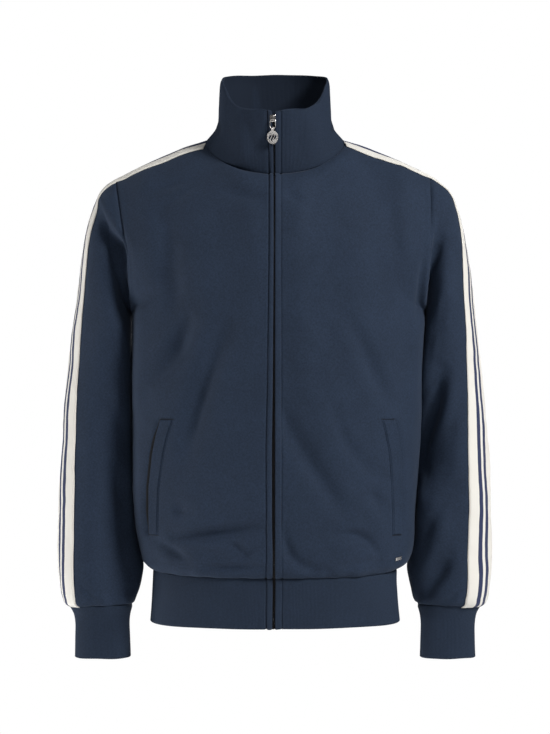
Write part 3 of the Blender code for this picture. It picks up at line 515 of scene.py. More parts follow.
class Value:
    """A socket's value in a material, on which Python's operators add the maths nodes."""

    def __init__(self, nodes: "Nodes", socket: bpy.types.NodeSocket) -> None:
        """Wraps one socket of a material's nodes."""
        self.nodes = nodes
        self.socket = socket

    def maths(self, operation: str, *others: object) -> "Value":
        """The result of a Math node on this value and the others."""
        return self.nodes.add("ShaderNodeMath", {"operation": operation}, (self, *others))

    def __add__(self, other: object) -> "Value":
        """This value plus another."""
        return self.maths("ADD", other)

    def __sub__(self, other: object) -> "Value":
        """This value less another."""
        return self.maths("SUBTRACT", other)

    def __rsub__(self, other: object) -> "Value":
        """A number less this value."""
        return self.nodes.add("ShaderNodeMath", {"operation": "SUBTRACT"}, (other, self))

    def __mul__(self, other: object) -> "Value":
        """This value times another."""
        return self.maths("MULTIPLY", other)

    __radd__, __rmul__ = __add__, __mul__

    def inside(self, low: float, high: float) -> "Value":
        """1 where this value lies between two numbers, otherwise 0."""
        return self.maths("GREATER_THAN", low) * self.maths("LESS_THAN", high)

    def ramp(self, low: float, high: float) -> "Value":
        """0 below low and 1 above high, smooth between."""
        settings = {"interpolation_type": "SMOOTHSTEP"}
        return self.nodes.add("ShaderNodeMapRange", settings, {0: self, 1: low, 2: high, 3: 0.0, 4: 1.0})


class Nodes:
    """The nodes of one new Principled material."""

    def __init__(self, name: str) -> None:
        """Makes the material with only its shader and its output."""
        self.material = bpy.data.materials.new(name)
        self.material.use_nodes = True
        self.shader = self.material.node_tree.nodes["Principled BSDF"]

    def add(self, kind: str, settings: dict | None = None, inputs: object = (), output: object = 0) -> Value:
        """Adds a node.

        Args:
            kind: the node's type.
            settings: its own settings, set first.
            inputs: values or links for its sockets, in order or by name or number.
            output: which output the result stands for.

        Returns:
            That output as a value.
        """
        node = self.material.node_tree.nodes.new(kind)
        for key, setting in (settings or {}).items():
            setattr(node, key, setting)
        pairs = inputs.items() if isinstance(inputs, dict) else enumerate(inputs)
        for key, given in pairs:
            self.put(node.inputs[key], given)
        return Value(self, node.outputs[output])

    def put(self, socket: bpy.types.NodeSocket, given: object) -> None:
        """Links a value to a socket, or sets a number or colour on it."""
        if isinstance(given, Value):
            self.material.node_tree.links.new(given.socket, socket)
        else:
            socket.default_value = given

    def set(self, **inputs: object) -> None:
        """Sets or links the shader's own sockets, with _ for the spaces in their names."""
        for name, given in inputs.items():
            self.put(self.shader.inputs[name.replace("_", " ")], given)

    def mix(self, share: object, first: object, second: object) -> Value:
        """A mix of two colours."""
        return self.add("ShaderNodeMix", {"data_type": "RGBA"}, {0: share, 6: first, 7: second}, output=2)

    def noise(self, place: Value, scale: float, detail: float = 2.0) -> Value:
        """Soft noise from 0 to 1, its cells about one over the scale across."""
        return self.add("ShaderNodeTexNoise", {}, {"Vector": place, "Scale": scale, "Detail": detail})

    def stretched(self, place: Value, scale: tuple[float, float, float]) -> Value:
        """A place scaled along its axes."""
        return self.add("ShaderNodeVectorMath", {"operation": "MULTIPLY"}, (place, scale))

    def cloth_place(self) -> tuple[Value, Value, Value]:
        """Place on the cloth in metres, as a vector and as distances across and along the piece."""
        place = self.add("ShaderNodeUVMap", {"uv_map": "Cloth"})
        across = self.add("ShaderNodeSeparateXYZ", {}, (place,), output=0)
        along = self.add("ShaderNodeSeparateXYZ", {}, (place,), output=1)
        return place, across, along

    def wave(self, value: Value, pitch: float) -> Value:
        """A sine from -1 to 1 with this pitch along a distance."""
        return (value * (2 * math.pi / pitch)).maths("SINE")

    def bump(self, height: Value, distance: float, strength: float, under: Value | None = None) -> Value:
        """Adds a relief.

        Args:
            height: the relief, in shares of the distance.
            distance: its full depth.
            strength: how much of it is seen.
            under: a normal that it is laid on.

        Returns:
            The bumped normal.
        """
        inputs = {"Height": height, "Distance": distance, "Strength": strength}
        if under:
            inputs["Normal"] = under
        return self.add("ShaderNodeBump", {}, inputs)


Colour = tuple[float, float, float, float]


def shade(colour: Colour, times: float) -> Colour:
    """A colour made lighter or darker."""
    return (*(part * times for part in colour[:3]), 1.0)


@dataclass(frozen=True)
class KnitFinish:
    """Smooth double knit: fine wales and courses, a soft mottle and a short nap."""

    name: str
    colour: Colour
    wale: float = 1.05 * MM
    course: float = 0.85 * MM
    grain: float = 0.28
    roughness: float = 0.86
    sheen: float = 0.1
    stitch_depth: float = 0.1 * MM
    nap_tint: Colour = (0.45, 0.55, 0.75, 1.0)
    # Distance along a doubled piece from which its inner side is seen, and how dark that side is painted
    # there as painted shade;
    # on a welt, where its mouth strip starts, which is painted dark as the shadow in the pocket's opening.
    inner: tuple[float, float] = (10.0, 1.0)

    def make(self) -> bpy.types.Material:
        """Makes the knit's nodes.

        Returns:
            The finish as a material.
        """
        nodes = Nodes(self.name)
        place, across, along = nodes.cloth_place()
        object_place = nodes.add("ShaderNodeTexCoord", output="Object")
        mottle = nodes.noise(object_place, 420.0, 3.0)
        heather = nodes.noise(nodes.stretched(place, (1500.0, 420.0, 1.0)), 1.0, 1.0)
        patches = nodes.noise(object_place, 22.0, 2.0)
        tone = (mottle * 0.5 + heather * 0.35 + patches * 0.15).ramp(0.3, 0.7)
        colour = nodes.mix(tone, shade(self.colour, 1 - self.grain), shade(self.colour, 1 + self.grain))
        loops = nodes.wave(across, self.wale) * 0.6 + nodes.wave(along, self.course) * 0.25
        # Painted shade: past that distance the colour is darkened, standing in for the shade inside a doubled
        # collar or the shadow in a pocket's mouth.
        painted_shade_start, painted_shade_level = self.inner
        inner = along.ramp(painted_shade_start, painted_shade_start + 0.5 * MM)
        colour = nodes.mix(inner, colour, shade(self.colour, painted_shade_level))
        normal = nodes.bump(loops * 0.5 + 0.5, self.stitch_depth, 0.6)
        normal = nodes.bump(nodes.noise(object_place, 700.0, 2.0), 0.12 * MM, 0.7, under=normal)
        nodes.set(Base_Color=colour, Roughness=mottle * 0.08 + (self.roughness - 0.04), Normal=normal)
        nodes.set(Specular_IOR_Level=0.18, Sheen_Weight=self.sheen)
        nodes.set(Sheen_Roughness=0.45, Sheen_Tint=self.nap_tint)
        return nodes.material


@dataclass(frozen=True)
class TapeFinish:
    """Woven sleeve tape: cream with navy stripes along it, a fine cross grain and stitched edges."""

    name: str = "striped_tape"
    cream: Colour = (0.77, 0.745, 0.69, 1.0)
    navy: Colour = (0.024, 0.033, 0.085, 1.0)
    # The navy stripes, as distances across the tape from its middle.
    stripe: tuple[float, float] = (2.7 * MM, 10.4 * MM)
    rib: float = 0.9 * MM

    def make(self) -> bpy.types.Material:
        """Makes the tape's nodes.

        Returns:
            The finish as a material.
        """
        nodes = Nodes(self.name)
        place, across, along = nodes.cloth_place()
        threads = nodes.noise(nodes.stretched(place, (2600.0, 500.0, 1.0)), 1.0, 2.0)
        soil = nodes.noise(place, 35.0, 2.0)
        cream = nodes.mix(threads * 0.6 + soil * 0.4, shade(self.cream, 0.9), shade(self.cream, 1.04))
        navy = nodes.mix(threads, shade(self.navy, 0.8), shade(self.navy, 1.25))
        away = across.maths("ABSOLUTE")
        wobble = (threads - 0.5) * (0.3 * MM)
        dark = (away + wobble).inside(*self.stripe)
        groove = nodes.wave(along, self.rib) * 0.35 + nodes.wave(across, 0.55 * MM) * 0.3 + 0.5
        start, end = self.stripe
        sunk = away.ramp(start - 0.5 * MM, start) - away.ramp(end, end + 0.5 * MM)
        normal = nodes.bump(groove - sunk * 0.8, 0.14 * MM, 0.8)
        nodes.set(Base_Color=nodes.mix(dark, cream, navy), Roughness=threads * 0.1 + 0.74, Normal=normal)
        nodes.set(Specular_IOR_Level=0.3, Sheen_Weight=0.06, Sheen_Roughness=0.4)
        return nodes.material


@dataclass(frozen=True)
class PlainFinish:
    """A plain finish with uneven tone and roughness: plated metal, moulded teeth, thread or zip tape."""

    name: str
    colour: Colour
    roughness: float
    metallic: float = 0.0
    uneven: float = 0.12
    scale: float = 900.0
    dent: float = 0.02 * MM
    specular: float = 0.5

    def make(self) -> bpy.types.Material:
        """Makes the plain finish's nodes.

        Returns:
            The finish as a material.
        """
        nodes = Nodes(self.name)
        place = nodes.add("ShaderNodeTexCoord", output="Object")
        spots = nodes.noise(place, self.scale, 3.0)
        wear = nodes.noise(place, self.scale / 5, 2.0)
        tone = (spots * 0.5 + wear * 0.5).ramp(0.3, 0.7)
        dark, light = shade(self.colour, 1 - self.uneven), shade(self.colour, 1 + self.uneven)
        nodes.set(
            Base_Color=nodes.mix(tone, dark, light),
            Roughness=wear * 0.15 + (self.roughness - 0.07),
            Metallic=self.metallic,
            Normal=nodes.bump(spots, self.dent, 0.5),
            Specular_IOR_Level=self.specular,
        )
        return nodes.material


@dataclass(frozen=True)
class PaperFinish:
    """The studio's pale floor."""

    name: str = "studio_paper"
    glow: float = 0.15

    def make(self) -> bpy.types.Material:
        """Makes the floor's nodes.

        Returns:
            The finish as a material.
        """
        nodes = Nodes(self.name)
        place = nodes.add("ShaderNodeTexCoord", output="Object")
        tone = nodes.noise(place, 3.0, 2.0)
        nodes.set(Base_Color=nodes.mix(tone, (0.9, 0.9, 0.9, 1.0), (0.93, 0.93, 0.93, 1.0)), Roughness=0.9)
        nodes.set(Emission_Color=(1.0, 1.0, 1.0, 1.0), Emission_Strength=self.glow)
        return nodes.material


class Wardrobe:
    """The jacket's finishes, made once each."""

    def __init__(self) -> None:
        """Makes all the materials."""
        navy, rib = (0.0156, 0.026, 0.048, 1.0), (0.015, 0.0246, 0.0446, 1.0)
        # The collar's rib colour is a darker copy of the rib's, painted shade for the shade the collar sits
        # in, and from 92.5 mm round its fold its inside is painted darker still as shade.
        collar, inner = (0.0132, 0.0218, 0.0402, 1.0), (0.0925, 0.72)
        self.knit = KnitFinish("navy_knit_looks", navy).make()
        self.rib = KnitFinish("navy_rib_looks", rib, grain=0.2, sheen=0.08).make()
        # The welt's finish paints its mouth strip, past the welt's outer edge, near black as the shadow in
        # the pocket's opening.
        self.welt = KnitFinish("pocket_welt_looks", navy, sheen=0.03, inner=(0.0, 0.05)).make()
        self.collar_rib = KnitFinish("collar_rib_looks", collar, grain=0.2, sheen=0.08, inner=inner).make()
        self.tape = TapeFinish("striped_tape_looks").make()
        zip_navy, brown = (0.003, 0.0042, 0.008, 1.0), (0.005, 0.0034, 0.004, 1.0)
        self.zip_cloth = PlainFinish("zip_cloth_looks", zip_navy, 0.85, scale=600.0).make()
        self.teeth = PlainFinish("zip_teeth_looks", brown, 0.42, uneven=0.2, specular=0.35).make()
        dark, cream = (0.013, 0.02, 0.036, 1.0), (0.78, 0.72, 0.62, 1.0)
        self.thread = PlainFinish("navy_thread_looks", dark, 0.7, scale=2500.0).make()
        self.cream_thread = PlainFinish("cream_thread_looks", cream, 0.6, scale=2500.0).make()
        bright = (0.8, 0.77, 0.75, 1.0)
        self.metal = PlainFinish("bright_metal_looks", bright, 0.22, metallic=1.0, uneven=0.06).make()


@dataclass(frozen=True)
class Crease:
    """A fold seen from in front or behind: a ridge (+) or a trough (-) along a bowed line."""

    face: Face
    start: tuple[float, float]
    end: tuple[float, float]
    reach: float
    height: float
    bow: float = 0.0
    lean: float = 0.0
    ends: float = 0.35

    def lift(self, points: Grid) -> Grid:
        """How far the fold lifts points.

        Args:
            points: the points, of which X and Z count.

        Returns:
            One lift for each.
        """
        start = np.array(self.start)
        run = np.array(self.end) - start
        aside = np.array((-run[1], run[0])) / np.linalg.norm(run)
        flat = points[..., (0, 2)] - start
        share = np.clip(flat @ run / (run @ run), 0, 1)
        off = flat - share[..., None] * run - (4 * self.bow * share * (1 - share))[..., None] * aside
        reach = self.reach * (1 + self.lean * np.tanh(off @ aside / self.reach))
        fade = self.ends + (1 - self.ends) * np.sin(math.pi * share)
        return self.height * fade * np.exp(-((np.linalg.norm(off, axis=-1) / reach) ** 2))


def creases(face: Face, *rows: tuple[float, ...]) -> tuple[Crease, ...]:
    """Creases on one face.

    Args:
        face: the face that they belong to.
        rows: for each its start's X and Z, its end's, its reach, height and bow in millimetres, then, where
            they aren't the usual ones, its lean and how much of it is left at its ends.

    Returns:
        The creases.
    """
    made = []
    for row in rows:
        start_x, start_z, end_x, end_z, reach, *heights = (value / 1000 for value in row[:7])
        made.append(Crease(face, (start_x, start_z), (end_x, end_z), reach, *heights, *row[7:]))
    return tuple(made)


FOLDS = (
    *creases(
        FRONT,
        (-151, -110, -143, -270, 17, -7, 4, 0, 0.2), (-112, -238, -182, -336, 15, -15, 10.5, 0, 0.2),
        (-60, -244, -126, -450, 15, -14.5, -7, 0, 0.2), (105, -256, 158, -372, 12, -6, 0, 0, 0.2),
        (5, -376, 92, -514, 15, -7.8, 0, 0, 0.25), (83, -543, 143, -572, 7.2, -7.5, 12),
        (10, -536, 68, -592, 9, -6.2, -17), (-138, -549, -18, -533, 7.8, -12),
        (-162, -557, -121, -576, 7.5, -6.6), (-233, -98, -197, -150, 8, 3.4),
        (-250, -94, -210, -164, 12, -15, -4, -0.3, 0.5), (-213, -150, -204, -242, 10, -11, 0, -0.2, 0.6),
        (229, -140, 209, -190, 8, -7), (208, -180, 200, -250, 8, -10, 0, 0, 0.5),
        (240, -165, 208, -275, 10, 4, 2), (232, -322, 198, -445, 12, -14, 3, -0.3),
        (252, -330, 226, -420, 11, 2.8), (211, -430, 203, -475, 9, -6), (-224, -455, -208, -530, 12, -5.5),
        (-246, -450, -226, -550, 18, 2.2), (240, -580, 200, -634, 11, -10, 2, -0.2),
        (226, -560, 204, -596, 9, 2.6), (80, -376, 140, -466, 10, -3.2, -9), (131, -484, 148, -508, 7, -4),
        (118, -500, 158, -560, 9, 2.6, 3), (34, -230, 42, -370, 17, 2.6), (-142, -511, -120, -513, 11, -5.2),
        (-90, -589, -16, -586, 5.5, -5.8), (-68, -552, -40, -570, 6, -4.2, 3),
        (-50, -577, -20, -560, 5, -3.6), (-110, -566, -70, -571, 6, -2.6, 2),
        (88, -588, 150, -584, 6.5, -3, 3), (-66, -78, -16, -86, 10, -6.2), (14, -78, 38, -92, 8, -3.2),
        (-172, -72, -94, -55, 7, -3), (-150, -96, -100, -66, 7, -2.4, 3), (160, -110, 178, -200, 12, -2),
        (-268, -617, -251, -641, 4.5, -2.4, 0, 0.4), (-250, -345, -222, -400, 12, -2.2, 4),
        (262, -470, 226, -520, 12, -2.2, -4, 0.3), (284, -565, 262, -615, 10, -1.8, 3),
        (219, -524, 204, -562, 8, -4, -2), (236, -520, 222, -560, 10, 1.8), (252, -628, 236, -643, 5, -1.8),
    ),
    *creases(
        BACK,
        (-150, -250, -60, -330, 16, -5, 8), (164, -236, 70, -345, 13, -4.6, -10),
        (-100, -572, 30, -585, 9, -4, -4), (60, -400, 120, -530, 14, -4.2, 6),
        (242, -310, 214, -400, 14, -7, 3), (-244, -300, -212, -390, 14, -6.2, -3),
        (244, -560, 210, -622, 11, -5.5), (0, -60, 10, -170, 20, -2.4, 4),
        (-120, -190, -160, -300, 12, -2.6, -6, 0.4), (130, -200, 165, -290, 11, -2.8, 6, -0.3),
        (60, -560, 125, -572, 7, -2.6, -4), (-150, -548, -85, -562, 8, -2.4, 4, 0.3),
        (-90, -420, -50, -520, 14, -2.6, 10), (268, -450, 226, -500, 13, -3, 5, 0.3),
        (-266, -430, -228, -490, 12, -2.8, -5), (284, -575, 250, -622, 10, -2, 3),
        (-282, -560, -246, -615, 11, -3.4, -3),
    ),
)


def fold_lift(grid: Grid, normals: Grid, folds: tuple[Crease, ...]) -> Grid:
    """How far folds lift the points of a piece.

    Args:
        grid: the points.
        normals: their normals.
        folds: the folds, each on the face that it belongs to.

    Returns:
        One lift for each point.
    """
    total = np.zeros(grid.shape[:2])
    for face in Face:
        on_face = np.clip(normals[..., 1] * face.value * 1.15, 0, 1)
        total += on_face * sum(fold.lift(grid) for fold in folds if fold.face is face)
    return total


@dataclass
class Cloth:
    """A cloth piece's grid as it lies, with its normals and its places in rows and columns of its cut."""

    grid: Grid
    normals: Grid
    rows: Grid
    columns: Grid

    def moved(self, lift: Grid) -> Grid:
        """The points moved out by a lift."""
        return self.grid + self.normals * lift[..., None]

    def line_at(self, distance: float | Grid, from_last: bool = False) -> tuple[Grid, Grid]:
        """A line at a distance from the piece's first or last column.

        Args:
            distance: one for all rows, or one for each.
            from_last: whether it is counted from the last column.

        Returns:
            A point and a normal for each row.
        """
        order = slice(None, None, -1 if from_last else 1)
        grid, normals = self.grid[:, order], self.normals[:, order]
        across, _ = travel(grid)
        points, directions = [], []
        for row, reach in enumerate(np.broadcast_to(distance, len(grid))):
            points.append(sampled([reach], across[row], grid[row])[0])
            directions.append(sampled([reach], across[row], normals[row])[0])
        return np.array(points), np.array(directions)


def grid_mesh(
    name: str, grid: Grid, place: tuple[Grid, Grid], outward: Grid, closed: tuple[bool, bool],
) -> bpy.types.Mesh:
    """A mesh on a grid of points, from a flat bmesh grid whose points are moved there.

    Args:
        name: the mesh's name.
        grid: the points, row after row.
        place: distances across and along the cloth, in metres, which become its UV map.
        outward: directions in which the faces look.
        closed: whether the rows, and the columns, run round to the first one again.

    Returns:
        The mesh, smooth shaded.
    """
    layers = np.concatenate((grid, place[0][..., None], place[1][..., None]), axis=2)
    if closed[0]:
        layers = np.concatenate((layers, layers[:1]))
        layers[-1, :, 4] = 2 * layers[-2, :, 4] - layers[-3, :, 4]
    if closed[1]:
        layers = np.concatenate((layers, layers[:, :1]), axis=1)
        layers[:, -1, 3] = 2 * layers[:, -2, 3] - layers[:, -3, 3]
    rows, columns = layers.shape[:2]
    shape = bmesh.new()
    bmesh.ops.create_grid(shape, x_segments=columns - 1, y_segments=rows - 1, size=1.0)
    mesh = bpy.data.meshes.new(name)
    shape.to_mesh(mesh)
    shape.free()
    flat = np.empty(len(mesh.vertices) * 3, np.float32)
    mesh.vertices.foreach_get("co", flat)
    flat = flat.reshape(-1, 3)
    column = np.rint((flat[:, 0] + 1) / 2 * (columns - 1)).astype(int)
    row = np.rint((flat[:, 1] + 1) / 2 * (rows - 1)).astype(int)
    points = layers[row, column]
    mesh.vertices.foreach_set("co", points[:, :3].astype(np.float32).ravel())
    corner = np.empty(len(mesh.loops), np.int32)
    mesh.loops.foreach_get("vertex_index", corner)
    mesh.uv_layers.new(name="Cloth").data.foreach_set("uv", points[corner, 3:].astype(np.float32).ravel())
    shape = bmesh.new()
    shape.from_mesh(mesh)
    if closed[0] or closed[1]:
        rim = [vert for vert in shape.verts if vert.is_boundary]
        bmesh.ops.remove_doubles(shape, verts=rim, dist=1e-6)
    facing = np.cross(np.gradient(grid, axis=1), np.gradient(grid, axis=0))
    if float(np.sum(facing * outward)) < 0:
        bmesh.ops.reverse_faces(shape, faces=shape.faces)
    if closed[0] and not closed[1]:
        bmesh.ops.holes_fill(shape, edges=[edge for edge in shape.edges if edge.is_boundary], sides=0)
    shape.to_mesh(mesh)
    shape.free()
    mesh.shade_smooth()
    return mesh


@dataclass(frozen=True)
class Piece:
    """What a new piece is: its finish, what it stands for, and how its cloth was cut and hangs."""

    name: str
    slot: str
    material: bpy.types.Material
    replaces: tuple[str, ...] = ()
    body: str = "jacket"
    flat: tuple[float, float] | None = None
    area: float | None = None
    held: str = "hung"
    rests_on: tuple[str, ...] = ()

    def put(self, mesh: bpy.types.Mesh, wall: float = 0.0) -> bpy.types.Object:
        """Places a mesh as this piece.

        Args:
            mesh: its shape.
            wall: how thick its cloth is inwards, or 0 for a shape that is whole already.

        Returns:
            The new object.
        """
        made = bpy.data.objects.new(self.name, mesh)
        bpy.context.scene.collection.objects.link(made)
        mesh.materials.append(self.material)
        if wall:
            thicken = made.modifiers.new("Wall", "SOLIDIFY")
            thicken.thickness = wall
            thicken.offset = -1
        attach(made, self.body)
        if self.replaces:
            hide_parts(*self.replaces)
        log.info("%s: %d faces", self.name, len(mesh.polygons))
        return made

    def sew(self, cloth: Cloth, wall: float, closed: bool = False) -> bpy.types.Object:
        """Places a cloth as this piece, a shell with its wall inwards."""
        mesh = grid_mesh(self.name, cloth.grid, travel(cloth.grid), cloth.normals, (False, closed))
        return self.put(mesh, wall)


@dataclass(frozen=True)
class Placket:
    """The strips beside the zip: rolled at the teeth and sunk where they are stitched down."""

    # Heights, with the stitch line's distance from the edge on the right and on the left.
    lines: Table = metres(
        (-680, 8.5, 10), (-616, 8.9, 9.2), (-569, 8.5, 9.4), (-522, 7.7, 8.8), (-428, 8, 9.1),
        (-333, 7.3, 8.6), (-226, 6.7, 8.3), (-70, 6.3, 8.1), (40, 6.3, 8.1),
    )
    groove: tuple[float, float] = (0.9 * MM, 1.7 * MM)
    strip: tuple[float, float] = (1.3 * MM, 1.2 * MM)

    def line(self, side: Side, z: Grid) -> Grid:
        """Distances of the stitch line from the edge, at heights."""
        return table_value(self.lines, side.pick((2, 1)), z)

    def lift(self, side: Side, reach: Grid, line: Grid) -> Grid:
        """How far the strip lifts the cloth.

        Args:
            side: the wearer's side.
            reach: distances from the strip's edge.
            line: the stitch line's distances from it.

        Returns:
            The lifts.
        """
        share = np.clip(reach / line, 0, 1)
        rolled = side.pick((1.1 - share, 0.35 + 0.65 * np.sin(math.pi * share)))
        inside = 1 - rising(reach, line - 1.6 * MM, line)
        sunk = side.pick(self.groove) * bell(reach - line, 1.1 * MM)
        return side.pick(self.strip) * rolled * inside - sunk - 1.1 * MM * bell(reach, 0.8 * MM)


@dataclass(frozen=True)
class Torso:
    """The two fronts and the back, from the waistband's seam to the shoulders."""

    cut: Cut
    wardrobe: Wardrobe
    pockets: "PocketLines"
    spacing: float = 2.95 * MM
    placket_spacing: float = 0.9 * MM
    wall: float = 1.2 * MM
    tape_parts: int = 4
    areas: tuple[float, float] = (0.155, 0.3)
    # How far from its seams the cloth's folds come in fully.
    calm_edge: float = 16 * MM
    waves: Waves = Waves(0.085, 1.3 * MM, 11, 0.6)
    mottle: Waves = Waves(0.034, 0.24 * MM, 12)
    gathers: Waves = Waves(0.026, 0.75 * MM, 21, 0.25)
    gather_band: tuple[float, float] = (9 * MM, 13 * MM)
    puckers: Waves = Waves(0.016, 0.26 * MM, 31, 0.2)
    pucker_band: tuple[float, float] = (2 * MM, 6 * MM)
    side_seam: Seam = Seam(1.3 * MM, 1.9 * MM, 0.35 * MM, 5.5 * MM, 3.0 * MM)
    neck_seam: Seam = Seam(0.4 * MM, 1.6 * MM, 0.3 * MM, 5.0 * MM, 2.6 * MM)
    hem_seam: Seam = Seam(0.7 * MM, 1.6 * MM)
    # How often the grid is evened out round each underarm, and how far in rows and in columns of the cut.
    relax_passes: int = 18
    relax_reach: tuple[float, float] = (0.9, 1.6)

    def row_places(self, coarse: Grid) -> Grid:
        """Places of the fine rows, with even ones under the tape."""
        places = places_along(coarse, self.spacing)
        under_tape = len(coarse) - 3
        even = np.linspace(under_tape, under_tape + 2, 2 * self.tape_parts + 1)
        return np.concatenate((places[places < under_tape], even))

    def column_places(self, coarse: Grid, placket: bool) -> Grid:
        """Places of the fine columns of a half panel.

        Args:
            coarse: the half panel's grid.
            placket: whether it has a placket.

        Returns:
            The places, in column numbers.
        """
        places = places_along(across_first(coarse), self.spacing, (False, True))
        if placket:
            fine = np.linspace(0, 1, math.ceil(self.cut.placket / self.placket_spacing) + 1)
            places = np.concatenate((fine, places[places > 1]))
        return places

    def corners(self, rows: int, columns: tuple[int, ...]) -> dict[int, Grid]:
        """How sharply rows turn at the neck's corners: fully at the top, not at all below the yoke."""
        sharp = np.zeros(rows)
        sharp[-4:] = (0.3, 0.8, 1.0, 1.0)
        return {column: sharp for column in columns}

    def fine(
        self, coarse: Grid, rows: Grid, columns: Grid, corners: tuple[int, ...], seams: tuple[int, ...],
    ) -> Cloth:
        """A panel run smoothly through its coarse grid, with its folds.

        Args:
            coarse: the grid of the cut's own lines.
            rows: places of its fine rows.
            columns: places of its fine columns.
            corners: the columns at the neck's corners.
            seams: the columns at the armholes, which turn at the underarm.

        Returns:
            The panel as it lies, without its seams.
        """
        turns = np.zeros(coarse.shape[1])
        turns[list(seams)] = 1.0
        underarm = len(self.cut.torso_levels) - 1
        upright = through(coarse, rows, {underarm: turns})
        sharp = self.corners(len(coarse), corners)
        at_rows = {column: np.interp(rows, np.arange(len(coarse)), value) for column, value in sharp.items()}
        grid = across_first(through(across_first(upright), columns, at_rows))
        grid = self.relaxed(grid, rows, columns, seams)
        cloth = Cloth(grid, normals_of(grid, self.cut.inside(grid)), rows, columns)
        across, up = travel(grid)
        edge = np.minimum(np.minimum(across, across[:, -1:] - across), np.minimum(up, up[-1:] - up))
        soft = self.waves.lift(grid[..., 0], grid[..., 2]) + self.mottle.lift(grid[..., 0], grid[..., 2])
        lift = rising(edge, 0, self.calm_edge) * (fold_lift(grid, cloth.normals, FOLDS) + soft)
        grid = cloth.moved(lift)
        return Cloth(grid, normals_of(grid, self.cut.inside(grid)), rows, columns)

    def relaxed(self, grid: Grid, rows: Grid, columns: Grid, seams: tuple[int, ...]) -> Grid:
        """Evens out a panel round each underarm.

        Args:
            grid: the panel's fine grid.
            rows: the places of its rows.
            columns: the places of its columns.
            seams: the columns at the armholes.

        Returns:
            A new grid, its edges unchanged.
        """
        underarm = len(self.cut.torso_levels) - 1
        share = np.zeros(grid.shape[:2])
        for seam in seams:
            near_row = bell(rows - underarm, self.relax_reach[0])
            share += near_row[:, None] * bell(columns - seam, self.relax_reach[1])[None, :]
        grid = grid.copy()
        for _ in range(self.relax_passes):
            mean = (grid[:-2, 1:-1] + grid[2:, 1:-1] + grid[1:-1, :-2] + grid[1:-1, 2:]) / 4
            grid[1:-1, 1:-1] += share[1:-1, 1:-1, None] * (mean - grid[1:-1, 1:-1])
        return grid

    def seamed(self, cloth: Cloth, side: Side | None) -> Cloth:
        """Rolls in a panel's seams, gathers it above the waistband and, in front, adds its placket.

        Args:
            cloth: the panel as it lies.
            side: a front's side, or None for the back.

        Returns:
            The panel as it is sewn.
        """
        across, up = travel(cloth.grid)
        last, top = across[:, -1:] - across, up[-1:] - up
        middle = self.cut.neck_columns + self.cut.shoulder_columns
        from_middle = cloth.columns if side else np.abs(cloth.columns - middle)
        lift = self.side_seam.lift(last) + self.hem_seam.lift(up)
        lift += self.gathers.lift(cloth.grid[..., 0], up) * beside(up, self.gather_band)
        lift += (from_middle < self.cut.neck_columns) * self.neck_seam.lift(top)
        if side:
            placket = Placket()
            line = placket.line(side, cloth.grid[..., 2])
            pull = self.puckers.lift(cloth.grid[..., 2], across, side)
            lift = lift + placket.lift(side, across, line) + self.pockets.sunk(side, cloth.grid)
            lift += pull * beside(across - line, self.pucker_band)
        else:
            lift += self.side_seam.lift(across)
        grid = cloth.moved(lift)
        return Cloth(grid, normals_of(grid, self.cut.inside(grid)), cloth.rows, cloth.columns)

    def build(self) -> tuple[dict[Side, Cloth], Cloth]:
        """Sews the three panels.

        Returns:
            The fronts and the back as they lie, without their seams, for the pieces that follow them.
        """
        neck, shoulder = self.cut.neck_columns, self.cut.shoulder_columns
        fronts, places = {}, None
        for side in Side:
            coarse = self.cut.half_panel(side, FRONT)
            if places is None:
                places = self.column_places(coarse, placket=True)
            front = self.fine(coarse, self.row_places(coarse), places, (neck,), (neck + shoulder,))
            fronts[side] = front
            Piece(
                f"front_{side.word}_shell", "navy_knit", self.wardrobe.knit, (f"front_{side.word}",),
                flat=(0.285, 0.64), area=self.areas[0], rests_on=("waistband",),
            ).sew(self.seamed(front, side), self.wall)
        left, right = self.cut.half_panel(Side.LEFT, BACK), self.cut.half_panel(Side.RIGHT, BACK)
        half = self.column_places(left, placket=False)
        half = np.concatenate((half[half < neck], places[places >= neck]))
        coarse = np.concatenate((right[:, ::-1], left[:, 1:]), axis=1)
        middle = neck + shoulder
        columns = np.concatenate((middle - half[::-1], middle + half[1:]))
        corners = (middle - neck, middle + neck)
        back = self.fine(coarse, self.row_places(coarse), columns, corners, (0, 2 * middle))
        Piece(
            "back_shell", "navy_knit", self.wardrobe.knit, ("back",),
            flat=(0.56, 0.72), area=self.areas[1], rests_on=("waistband",),
        ).sew(self.seamed(back, None), self.wall)
        return fronts, back


